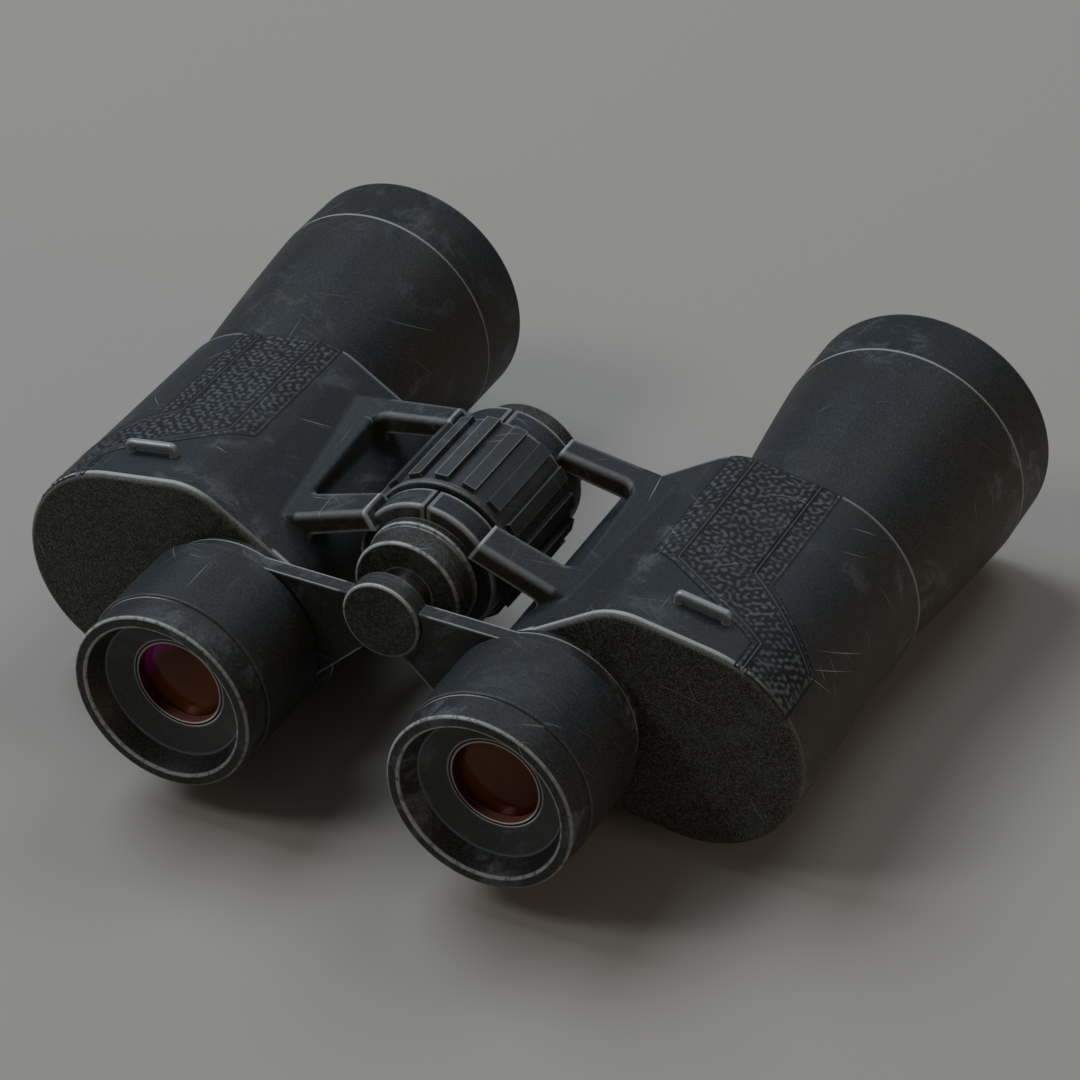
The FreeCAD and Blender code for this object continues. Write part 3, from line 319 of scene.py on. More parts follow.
class EdgeWear(Effect):
    """Paint rubbed off the outward edges, from how thin the solid is behind the surface; as a painted highlight,
    the edges are brighter where they face the upper left, by the share that Lean sets.
    """

    name = "edge_wear"
    takes = {"Reach": 0.0012, "Amount": 1.0, "Lean": 0.4}
    highlight_side = (-0.70, -0.30, 0.65)
    unlit_range = (-0.05, 0.7)
    samples = 6
    chip_scale, patch_scale = 800, 70
    raggedness, threshold = 0.3, -0.14
    worn_range, thin_range = (0.08, 0.18), (0.03, 0.09)
    spared_width, spared_strength = -0.12, -0.9

    def wire(self, wires: Wiring, source: bpy.types.NodeOutputs) -> dict[str, object]:
        """Wire the worn edges.

        Args:
            wires: The group's wiring.
            source: The group's inputs.

        Returns:
            The mask.
        """
        inside = wires.add(
            "AmbientOcclusion", {"Distance": source["Reach"]}, inside=True, only_local=True, samples=self.samples)
        thin = wires.math("SUBTRACT", 1.0, inside.outputs["AO"])
        chips = wires.noise(source["Place"], self.chip_scale, detail=4, rough=0.7)
        patches = wires.noise(source["Place"], self.patch_scale, detail=3, rough=0.6)
        broken = wires.math("MULTIPLY_ADD", chips, 0.5, wires.times(patches, 0.5))
        # Painted highlight: worn edges are narrowed and dimmed where the surface faces away from the upper left,
        # as if they caught light only there.
        towards = wires.dot(wires.facing(), self.highlight_side)
        spared = wires.times(wires.fade(towards, *self.unlit_range), source["Lean"])
        worn = wires.math("ADD", thin, wires.math("MULTIPLY_ADD", broken, self.raggedness, self.threshold))
        worn = wires.math("MULTIPLY_ADD", spared, self.spared_width, worn)
        mask = wires.times(wires.band(worn, *self.worn_range), wires.band(thin, *self.thin_range))
        mask = wires.times(mask, wires.math("MULTIPLY_ADD", spared, self.spared_strength, 1.0))
        return {"Mask": wires.times(mask, source["Amount"])}


class Scratches(Effect):
    """Straight thin scratches: sparse flat cells of several slants, where they cut the surface."""

    name = "scratches"
    takes = {"Amount": 1.0}
    slants = ((0.5, 0.9, 0.4), (1.2, -0.6, 2.1), (-0.9, 0.4, 1.1), (0.3, -1.1, -0.8), (1.9, 0.8, 2.9))
    length, width = 14 * MM, 0.23 * MM
    shortest, growth = 0.6, 0.35
    line_range, crossing_range = (0.12, 0.38), (0.7, 0.9)
    rarity = 0.972
    cluster_scale, cluster_range = 55, (0.44, 0.6)

    def wire(self, wires: Wiring, source: bpy.types.NodeOutputs) -> dict[str, object]:
        """Wire the scratches.

        Args:
            wires: The group's wiring.
            source: The group's inputs.

        Returns:
            The mask.
        """
        facing = wires.facing()
        cluster = wires.band(wires.noise(source["Place"], self.cluster_scale, detail=1), *self.cluster_range)
        total: object = 0.0
        for index, slant in enumerate(self.slants):
            inputs = {"Vector": source["Place"], "Rotation": slant}
            turned = wires.add("VectorRotate", inputs, rotation_type="EULER_XYZ").outputs[0]
            length = self.length * (self.shortest + self.growth * index)
            drawn = wires.vector("MULTIPLY", turned, (1 / length, 1 / self.width, 1 / length))["Vector"]
            cell = wires.add("TexVoronoi", {"Vector": drawn, "Scale": 1.0}).outputs
            line = wires.fade(cell["Distance"], *self.line_range)
            pick = wires.add("SeparateColor", {0: cell["Color"]}).outputs
            kept = wires.math("GREATER_THAN", pick[0], self.rarity)
            mark = wires.times(wires.times(line, kept), pick[1])
            thin_way = Euler(slant).to_matrix().transposed() @ Vector((0, 1, 0))
            along = wires.dot(facing, tuple(thin_way))
            crossing = wires.fade(wires.math("ABSOLUTE", along), *self.crossing_range)
            total = wires.math("MAXIMUM", total, wires.times(mark, crossing))
        return {"Mask": wires.times(wires.times(total, cluster), source["Amount"])}


class Dust(Effect):
    """Cloudy pale patches with broken edges."""

    name = "dust"
    takes = {"Amount": 1.0}
    smear_scale, smear_range = 110, (0.48, 0.61)
    patch_scale, patch_range = 34, (0.45, 0.6)
    speck_scale, speck_range, thinnest = 1500, (0.3, 0.7), 0.3

    def wire(self, wires: Wiring, source: bpy.types.NodeOutputs) -> dict[str, object]:
        """Wire the patches.

        Args:
            wires: The group's wiring.
            source: The group's inputs.

        Returns:
            The mask.
        """
        place = source["Place"]
        smear = wires.band(wires.noise(place, self.smear_scale, detail=8, rough=0.7, warp=0.6), *self.smear_range)
        where = wires.band(wires.noise(place, self.patch_scale), *self.patch_range)
        specks = wires.band(wires.noise(place, self.speck_scale, rough=0.6), *self.speck_range, self.thinnest)
        return {"Mask": wires.times(wires.times(wires.times(smear, where), specks), source["Amount"])}


class Grain(Effect):
    """The grain of a sprayed or moulded surface, with pale flecks, and a painted warm shade on its lower sides
    mixed with random mottled patches.
    """

    name = "grain"
    takes = {"Fineness": 2600.0}
    gives = ("Height", "Fleck", "Shade")
    fleck_size, fleck_range = 0.8, (0.42, 0.72)
    cloud_scale, cloud_contrast, cloud_bias = 40, 2.2, -0.95
    upward = (0.1, 0.85)

    def wire(self, wires: Wiring, source: bpy.types.NodeOutputs) -> dict[str, object]:
        """Wire the grain.

        Args:
            wires: The group's wiring.
            source: The group's inputs.

        Returns:
            The height, the fleck's mask, and the mask of the painted shade with its mottle.
        """
        place, fine = source["Place"], source["Fineness"]
        height = wires.noise(place, fine, detail=3, rough=0.6)
        flecks = wires.noise(place, wires.times(fine, self.fleck_size), detail=1, rough=0.6)
        cloud = wires.noise(place, self.cloud_scale, detail=4, rough=0.6)
        # Painted shade: faces that point down or sideways get the mask, as if lit less from above; the cloud adds
        # random mottle.
        below = wires.fade(wires.axes(wires.facing())[2], *self.upward)
        shade = wires.math("ADD", below, wires.math("MULTIPLY_ADD", cloud, self.cloud_contrast, self.cloud_bias))
        return {
            "Height": height,
            "Fleck": wires.band(flecks, *self.fleck_range),
            "Shade": wires.math("MAXIMUM", shade, 0.0),
        }


# ---------------------------------------------------------------- finishes


@dataclass(frozen=True)
class Finish:
    """A painted, moulded or bare surface with grain, flecks, dust, scratches and worn edges."""

    name: str
    # base shows on upward faces and the second colour on lower sides and in mottled patches; for the enamels the
    # bluish base is painted cool light from above and the brown second colour painted warm shade below.
    base: Colour
    shade: Colour
    roughness: float = 0.5
    specular: float = 0.3
    metallic: float = 0.0
    fineness: float = 2600.0
    grain: float = 0.05 * MM
    fleck: Colour = (0.046, 0.049, 0.050)
    flecks: float = 0.5
    worn: Colour = (0.30, 0.315, 0.32)
    wear: float = 0.95
    reach: float = 0.8 * MM
    # lean: how much worn edges fade on the side away from the upper left, a painted highlight.
    lean: float = 0.4
    scratches: float = 0.9
    dust: float = 0.95
    dirt: Colour = (0.078, 0.090, 0.102)
    unevenness: float = 0.12
    polish: float = 0.12
    scratch_depth: float = 0.8
    relief: float = 0.6

    def material(self) -> bpy.types.Material:
        """Return this finish's material, built at its first use.

        Returns:
            The material.
        """
        found = bpy.data.materials.get(self.name)
        if found:
            return found
        made, wires = blank_material(self.name)
        place = wires.place()
        grain = Grain().put(wires, place=place, fineness=self.fineness)
        # Painted shade with mottle: upward faces keep the base colour, lower sides and mottled patches take the
        # second colour.
        colour = self.pattern(wires, wires.mix(grain["Shade"], self.base, self.shade))
        colour = wires.mix(wires.times(grain["Fleck"], self.flecks), colour, self.fleck)
        dust = Dust().put(wires, place=place, amount=self.dust)["Mask"]
        colour = wires.mix(dust, colour, self.dirt)
        scratch = Scratches().put(wires, place=place, amount=self.scratches)["Mask"]
        colour = wires.mix(scratch, colour, self.worn)
        swing = wires.times(grain["Height"], self.unevenness)
        rough = wires.math("ADD", self.roughness - self.unevenness / 2, swing)
        if self.wear:
            worn = EdgeWear().put(wires, place=place, reach=self.reach, amount=self.wear, lean=self.lean)["Mask"]
            worn = self.rub(wires, worn)
            colour = wires.mix(worn, colour, self.worn)
            rough = wires.math("SUBTRACT", rough, wires.times(worn, self.polish))
        height = wires.math("SUBTRACT", grain["Height"], wires.times(scratch, self.scratch_depth))
        bump = wires.add("Bump", {"Strength": self.relief, "Distance": self.grain, "Height": height})
        shader = wires.add("BsdfPrincipled", {
            "Base Color": colour,
            "Roughness": rough,
            "Metallic": self.metallic,
            "Specular IOR Level": self.specular,
            "Normal": bump.outputs[0],
        })
        wires.add("OutputMaterial", {0: shader.outputs[0]})
        return made

    def pattern(self, wires: Wiring, colour: Socket) -> Socket:
        """Return the colour with this finish's own pattern on it.

        Args:
            wires: The material's wiring.
            colour: The colour so far.

        Returns:
            The colour with the pattern.
        """
        return colour

    def rub(self, wires: Wiring, worn: Socket) -> Socket:
        """Return the mask of the worn edges, less where this finish keeps its paint.

        Args:
            wires: The material's wiring.
            worn: The mask of every worn edge.

        Returns:
            The mask to use.
        """
        return worn


@dataclass(frozen=True)
class HousingEnamel(Finish):
    """The housings' enamel, rubbed on the hinge arms and a little along the front edge."""

    arms: float = 30.2 * MM
    front: float = 14.6 * MM
    front_ease: float = 0.4 * MM
    gap: float = 1.5 * MM
    wear_in_gap: float = 0.35
    wear_at_front: float = 0.4

    def rub(self, wires: Wiring, worn: Socket) -> Socket:
        """Keep the wear on the arms, less beside the middle gap, and on the front edge.

        Args:
            wires: The material's wiring.
            worn: The mask of every worn edge.

        Returns:
            The mask to use.
        """
        place = wires.axes(wires.place())
        across = wires.math("ABSOLUTE", place[0])
        on_arm = wires.fade(across, self.arms, self.arms + MM)
        on_arm = wires.times(on_arm, wires.band(across, self.gap / 2, self.gap, self.wear_in_gap))
        at_front = wires.band(place[1], self.front, self.front + self.front_ease, 0.0, self.wear_at_front)
        return wires.times(worn, wires.math("MAXIMUM", on_arm, at_front))


@dataclass(frozen=True)
class TurnedFinish(Finish):
    """The finish of a turned piece with rubbed circles, brighter on the upper left as a painted highlight: each
    rim or lip is a radius and a station.
    """

    centre: tuple[float, float, float] = (0.0, 0.0, 0.0)
    rims: Line = ()
    lips: Line = ()
    elsewhere: float = 0.6
    highlight_side: tuple[float, float, float] = (-0.62, 0.0, 0.78)
    highlight_range: Range = (-0.3, 0.6)
    shaded_rim: float = 0.4
    rim_band: Range = (-0.75 * MM, -0.45 * MM)
    lip_band: Range = (0.2 * MM, 0.5 * MM)
    lip_wear: float = 0.75
    station_band: Range = (0.4 * MM, 0.7 * MM)
    chip_scale: float = 700
    chip_range: Range = (0.36, 0.5)
    chipped: float = 0.35

    def rub(self, wires: Wiring, worn: Socket) -> Socket:
        """Draw the rubbed circles, the rims brighter on the upper left as a painted highlight, with chips in
        them.

        Args:
            wires: The material's wiring.
            worn: The mask of every worn edge.

        Returns:
            The mask to use.
        """
        place = wires.place()
        along = wires.axes(place)[1]
        radius = wires.from_axis(self.centre)
        lean = wires.dot(wires.facing(), self.highlight_side)
        # Painted highlight: rims facing away from the upper left keep only shaded_rim of their brightness.
        upper = wires.band(lean, *self.highlight_range, self.shaded_rim)
        circles: object = 0.0
        for edge, station in self.rims:
            rim = wires.band(radius, *(edge + side for side in self.rim_band))
            rim = wires.times(wires.times(rim, self.near(wires, along, station)), upper)
            circles = wires.math("MAXIMUM", circles, rim)
        for edge, station in self.lips:
            lip = wires.fade(radius, *(edge + side for side in self.lip_band))
            lip = wires.times(wires.times(lip, self.near(wires, along, station)), self.lip_wear)
            circles = wires.math("MAXIMUM", circles, lip)
        chips = wires.noise(place, self.chip_scale, detail=4, rough=0.7)
        circles = wires.times(circles, wires.band(chips, *self.chip_range, self.chipped))
        others = wires.times(worn, self.others(wires, along, lean))
        return wires.math("MAXIMUM", circles, others)

    def near(self, wires: Wiring, along: Socket, station: float) -> Socket:
        """Return a mask of the surface close to a station.

        Args:
            wires: The material's wiring.
            along: The place along the instrument.
            station: The station.

        Returns:
            The mask.
        """
        away = wires.math("ABSOLUTE", wires.math("SUBTRACT", along, station))
        return wires.fade(away, *self.station_band)

    def others(self, wires: Wiring, along: Socket, lean: Socket) -> object:
        """Return how much the edges that have no circle are worn.

        Args:
            wires: The material's wiring.
            along: The place along the instrument.
            lean: How far the surface faces the upper left.

        Returns:
            A share, as a number or a socket.
        """
        return self.elsewhere


@dataclass(frozen=True)
class CupPlastic(TurnedFinish):
    """An eyecup's plastic, with painted shade inside its mouth, whose front edge is rubbed, and painted bright as
    a highlight, only at its upper left.
    """

    front: float = -64.7 * MM
    mouth: float = 18.42 * MM
    # inside: the colour of the painted shade on the wall inside the mouth.
    inside: Colour = (0.0035, 0.0037, 0.0034)
    inside_painted_shade: float = 0.85
    front_band: Range = (-3.5 * MM, -2.5 * MM)
    highlight_band: Range = (0.7, 0.97)

    def pattern(self, wires: Wiring, colour: Socket) -> Socket:
        """Paint shade on the wall inside the mouth.

        Args:
            wires: The material's wiring.
            colour: The colour so far.

        Returns:
            The colour with the painted shade on the wall.
        """
        radius = wires.from_axis(self.centre)
        # Painted shade: the wall inside the mouth is darkened, as if in the cup's shadow.
        dark = wires.band(radius, self.mouth - 0.08 * MM, self.mouth, self.inside_painted_shade, 0.0)
        return wires.mix(dark, colour, self.inside)

    def others(self, wires: Wiring, along: Socket, lean: Socket) -> object:
        """Keep the wear, as a painted highlight, at the upper left of the front edge.

        Args:
            wires: The material's wiring.
            along: The place along the instrument.
            lean: How far the surface faces the upper left.

        Returns:
            The share, as a socket.
        """
        # Painted highlight: the front edge shows only where it faces the upper left.
        at_front = wires.band(along, *(self.front + side for side in self.front_band))
        return wires.times(at_front, wires.band(lean, *self.highlight_band))


@dataclass(frozen=True)
class BridgeEnamel(Finish):
    """The bridge arms' enamel, whose hubs are hardly worn."""

    hub: float = 10.5 * MM
    wear_on_hub: float = 0.15

    def rub(self, wires: Wiring, worn: Socket) -> Socket:
        """Spare the hubs round the focus shaft.

        Args:
            wires: The material's wiring.
            worn: The mask of every worn edge.

        Returns:
            The mask to use.
        """
        low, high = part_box("bridge_cap")
        radius = wires.from_axis(tuple((low + high) / 2))
        return wires.times(worn, wires.band(radius, self.hub, self.hub + MM, self.wear_on_hub))


@dataclass(frozen=True)
class Leatherette(Finish):
    """Wrinkled vinyl, from the panel's own attributes: pale ridges, partly rubbed and partly a painted highlight
    on their tops, and black grooves, which are painted shade in the cuts and a dark joint along the border.
    """

    # ridge: the pale tone of the ridges, partly rubbed and partly painted highlight.
    ridge: Colour = (0.074, 0.084, 0.096)
    # groove: painted shade in the cut grooves, and the dark joint along the border.
    groove: Colour = (0.004, 0.004, 0.005)

    def pattern(self, wires: Wiring, colour: Socket) -> Socket:
        """Colour the ridges and the grooves.

        Args:
            wires: The material's wiring.
            colour: The colour so far.

        Returns:
            The colour with the ridges and grooves.
        """
        for name, tint in (("ridge", self.ridge), ("groove", self.groove)):
            mask = wires.add("Attribute", attribute_name=name).outputs["Fac"]
            colour = wires.mix(mask, colour, tint)
        return colour


@dataclass(frozen=True)
class RimMetal(Finish):
    """Bare metal with a dark channel between two bright circles, and a painted red reflection of the lens on the
    wall before the glass.

    Both have a painted highlight on their lower side.
    """

    centre: tuple[float, float, float] = (0.0, 0.0, 0.0)
    inner: float = 9.9 * MM
    outer: float = 10.8 * MM
    line: float = 0.22 * MM
    channel: Colour = (0.020, 0.012, 0.012)
    wall: float = 9.75 * MM
    wall_reflection: Colour = (0.14, 0.030, 0.024)
    wall_highlight: Colour = (0.62, 0.26, 0.22)
    polished: Colour = (0.90, 0.88, 0.86)
    lower_side: tuple[float, float, float] = (30.0, 0.0, -95.0)
    polished_range: Range = (0.55, 0.95)
    wall_highlight_range: Range = (0.6, 0.95)

    def pattern(self, wires: Wiring, colour: Socket) -> Socket:
        """Darken the channel, paint a highlight on the lower side and a red reflection on the wall.

        Args:
            wires: The material's wiring.
            colour: The colour so far.

        Returns:
            The colour with the circles, the painted highlight and the painted reflection.
        """
        radius = wires.from_axis(self.centre)
        past = wires.band(radius, self.inner + self.line * 0.8, self.inner + self.line)
        before = wires.fade(radius, self.outer - self.line, self.outer - self.line * 0.8)
        low = wires.dot(wires.from_point(self.centre), self.lower_side)
        # Painted highlight: the ring is painted brighter on its lower side, as if catching light.
        colour = wires.mix(wires.band(low, *self.polished_range), colour, self.polished)
        colour = wires.mix(wires.times(past, before), colour, self.channel)
        # Painted reflection: the wall before the glass is red, as if mirroring the lens, with a painted highlight
        # at its lower side.
        red = wires.mix(wires.band(low, *self.wall_highlight_range), self.wall_reflection, self.wall_highlight)
        return wires.mix(wires.fade(radius, self.wall, self.wall + 0.05 * MM), colour, red)


@dataclass(frozen=True)
class LensGlass:
    """Coated glass whose tint changes across the lens: darker towards the rim, with painted shade on the side
    away from the light, a painted coating reflection near one edge, and cloudy patches.
    """

    name: str
    middle: Colour
    edge: Colour
    bloom: Colour
    centre: tuple[float, float, float]
    radius: float
    transmission: float = 0.0
    light_side: tuple[float, float, float] = (-0.66, 0.0, 0.75)
    bloom_side: tuple[float, float, float] = (-0.66, 0.0, 0.75)
    bloom_start: float = 0.4
    roughness: float = 0.1
    specular: float = 0.12
    cloud_scale: float = 130
    edge_range: Range = (0.7, 1.05)
    shaded_range: Range = (-0.9, 0.7)
    shading: float = 0.9
    cloud_range: Range = (0.4, 0.7)
    clouding: float = 0.25
    bloom_rim: Range = (0.5, 0.95)
    bloom_end: float = 0.98

    def material(self) -> bpy.types.Material:
        """Return this glass's material, built at its first use.

        Returns:
            The material.
        """
        found = bpy.data.materials.get(self.name)
        if found:
            return found
        made, wires = blank_material(self.name)
        local = {0: wires.from_point(self.centre), "Scale": 1 / self.radius}
        unit = wires.add("VectorMath", local, operation="SCALE").outputs[0]
        flat = wires.vector("MULTIPLY", unit, (1, 0, 1))["Vector"]
        rim = wires.vector("LENGTH", flat)["Value"]
        light, bloom = (wires.dot(flat, side) for side in (self.light_side, self.bloom_side))
        cloud = wires.noise(wires.place(), self.cloud_scale, detail=3)
        colour = wires.mix(wires.band(rim, *self.edge_range), self.middle, self.edge)
        # Painted shade: the side away from light_side is mixed towards the darker edge colour.
        colour = wires.mix(wires.band(light, *self.shaded_range, self.shading, 0.0), colour, self.edge)
        # Painted reflection: a coating reflection painted near the rim on the reflection side.
        high = wires.times(wires.band(bloom, self.bloom_start, self.bloom_end), wires.band(rim, *self.bloom_rim))
        colour = wires.mix(high, colour, self.bloom)
        colour = wires.mix(wires.band(cloud, *self.cloud_range, 0.0, self.clouding), colour, self.edge)
        shader = wires.add("BsdfPrincipled", {
            "Base Color": colour,
            "Roughness": self.roughness,
            "Transmission Weight": self.transmission,
            "Specular IOR Level": self.specular,
        })
        wires.add("OutputMaterial", {0: shader.outputs[0]})
        return made


# Each finish gives its upward-face colour first and its lower-side colour second; the blue-and-brown pairs of the
# enamels are painted light from above and painted warm shade below, with random mottle.
BLACK_ENAMEL = HousingEnamel(
    "black_enamel_worn", (0.0138, 0.0206, 0.0290), (0.0256, 0.0178, 0.0082), specular=0.2, fineness=3400.0,
    flecks=0.7, reach=1.0 * MM, lean=0.05, worn=(0.40, 0.42, 0.43))
COVER_ENAMEL = Finish(
    "cover_enamel_worn", (0.0115, 0.0122, 0.0106), (0.0110, 0.0108, 0.0082), fineness=4200.0, flecks=0.95,
    dust=0.4, fleck=(0.106, 0.103, 0.082), roughness=0.62, reach=0.95 * MM, lean=1.0, worn=(0.36, 0.37, 0.365),
    scratches=1.0)
BARREL_ENAMEL = Finish(
    "barrel_enamel_worn", (0.0108, 0.0158, 0.0220), (0.0246, 0.0166, 0.0064), specular=0.2, fineness=3400.0,
    flecks=0.8, reach=0.4 * MM)
RING_ENAMEL = Finish(
    "ring_enamel_worn", (0.0118, 0.0162, 0.0212), (0.0180, 0.0132, 0.0072), specular=0.2, roughness=0.54,
    reach=0.5 * MM)
TUBE_ENAMEL = Finish(
    "tube_enamel_worn", (0.0082, 0.0124, 0.0178), (0.0105, 0.0090, 0.0068), roughness=0.52, wear=0.5, dust=0.35,
    reach=0.35 * MM)
BRIDGE_ENAMEL = BridgeEnamel(
    "bridge_enamel_worn", (0.0115, 0.0125, 0.0125), (0.0115, 0.0108, 0.0085), flecks=0.5, reach=0.45 * MM)
# The dish's base is lighter than the other blacks, painted light on a surface that lies in shade, and its bluish
# worn colour on the step ring is partly a painted highlight.
DISH_BLACK = Finish(
    "dish_black_worn_and_highlit", (0.023, 0.027, 0.030), (0.029, 0.029, 0.025), flecks=0.7, wear=0.6, reach=0.5 * MM,
    lean=0.2, worn=(0.12, 0.14, 0.16))
MATT_BLACK = Finish("matt_black_flat", (0.006, 0.006, 0.006), (0.005, 0.005, 0.005), roughness=0.7, wear=0.0)
WHEEL_PLASTIC = Finish(
    "wheel_plastic_worn", (0.0115, 0.0135, 0.0155), (0.0105, 0.0105, 0.0090), wear=1.0, reach=0.5 * MM)
WHEEL_RUBBER = Finish(
    "wheel_rubber_worn", (0.0310, 0.0380, 0.0450), (0.0100, 0.0100, 0.0085), roughness=0.56, wear=0.6,
    reach=0.28 * MM, lean=0.8, dust=0.9)
LUG_STEEL = Finish(
    "lug_steel_worn", (0.27, 0.295, 0.315), (0.19, 0.20, 0.205), roughness=0.42, metallic=0.3,
    worn=(0.55, 0.56, 0.57), fleck=(0.10, 0.10, 0.10), flecks=0.35, wear=0.6, reach=0.4 * MM, dust=0.2)
SPRING_STEEL = Finish(
    "spring_steel_bare", (0.25, 0.25, 0.25), (0.18, 0.18, 0.18), roughness=0.35, metallic=0.9, wear=0.0,
    fleck=(0.1, 0.1, 0.1))
LEATHER = Leatherette(
    "leatherette_wrinkled", (0.0066, 0.0082, 0.0098), (0.0060, 0.0068, 0.0074), roughness=0.55, specular=0.2,
    wear=0.0, dust=0.3, flecks=0.15)


# ---------------------------------------------------------------- modelling


def clamp(value: float) -> float:
    """Return a value held between 0 and 1."""
    return min(1.0, max(0.0, value))


def edit(select: str | None = None) -> None:
    """Go into edit mode, and select or deselect everything there if asked to.

    Args:
        select: SELECT, DESELECT, or None to keep what is selected.
    """
    bpy.ops.object.mode_set(mode="EDIT")
    if select:
        bpy.ops.mesh.select_all(action=select)


def leave() -> None:
    """Leave edit mode."""
    bpy.ops.object.mode_set(mode="OBJECT")


def deselect_all() -> None:
    """Leave edit mode and deselect every object."""
    if bpy.context.object and bpy.context.object.mode != "OBJECT":
        leave()
    bpy.ops.object.select_all(action="DESELECT")


def activate(piece: bpy.types.Object) -> None:
    """Make a piece the only selected one, and active.

    Args:
        piece: The piece.
    """
    deselect_all()
    piece.select_set(True)
    bpy.context.view_layer.objects.active = piece


def modify(piece: bpy.types.Object, name: str, kind: str, **settings: object) -> None:
    """Add a modifier to the active piece and apply it.

    Args:
        piece: The piece.
        name: The modifier's name.
        kind: Its type.
        settings: Its settings.
    """
    modifier = piece.modifiers.new(name, kind)
    for key, value in settings.items():
        setattr(modifier, key, value)
    bpy.ops.object.modifier_apply(modifier=modifier.name)


def dress(piece: bpy.types.Object, material: bpy.types.Material) -> None:
    """Put one material on the whole of a piece.

    Args:
        piece: A node or a new piece.
        material: The material.
    """
    if not piece.material_slots:
        piece.data.materials.append(material)
    for slot in piece.material_slots:
        slot.material = material


def settle(piece: bpy.types.Object, name: str, body: str) -> None:
    """Name a finished piece, apply its place, and tie it to its body.

    Args:
        piece: The piece.
        name: Its name.
        body: The body that it rides on.
    """
    activate(piece)
    bpy.ops.object.transform_apply(location=True, rotation=True, scale=True)
    piece.name = name
    piece.data.name = name
    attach(piece, body)
    LOG.info("%s: %d faces", name, len(piece.data.polygons))


def spiral_ways(half: int) -> list[Vector]:
    """Return ways spread evenly over a sphere, on a spiral from below to above.

    Args:
        half: How many lie on each side of the middle one.

    Returns:
        The ways, as unit vectors.
    """
    ways = []
    for step in range(-half, half + 1):
        rise, turn = step / (half + 1), SPIRAL_TURN * step
        across = math.sqrt(1 - rise ** 2)
        ways.append(Vector((math.cos(turn) * across, math.sin(turn) * across, rise)))
    return ways


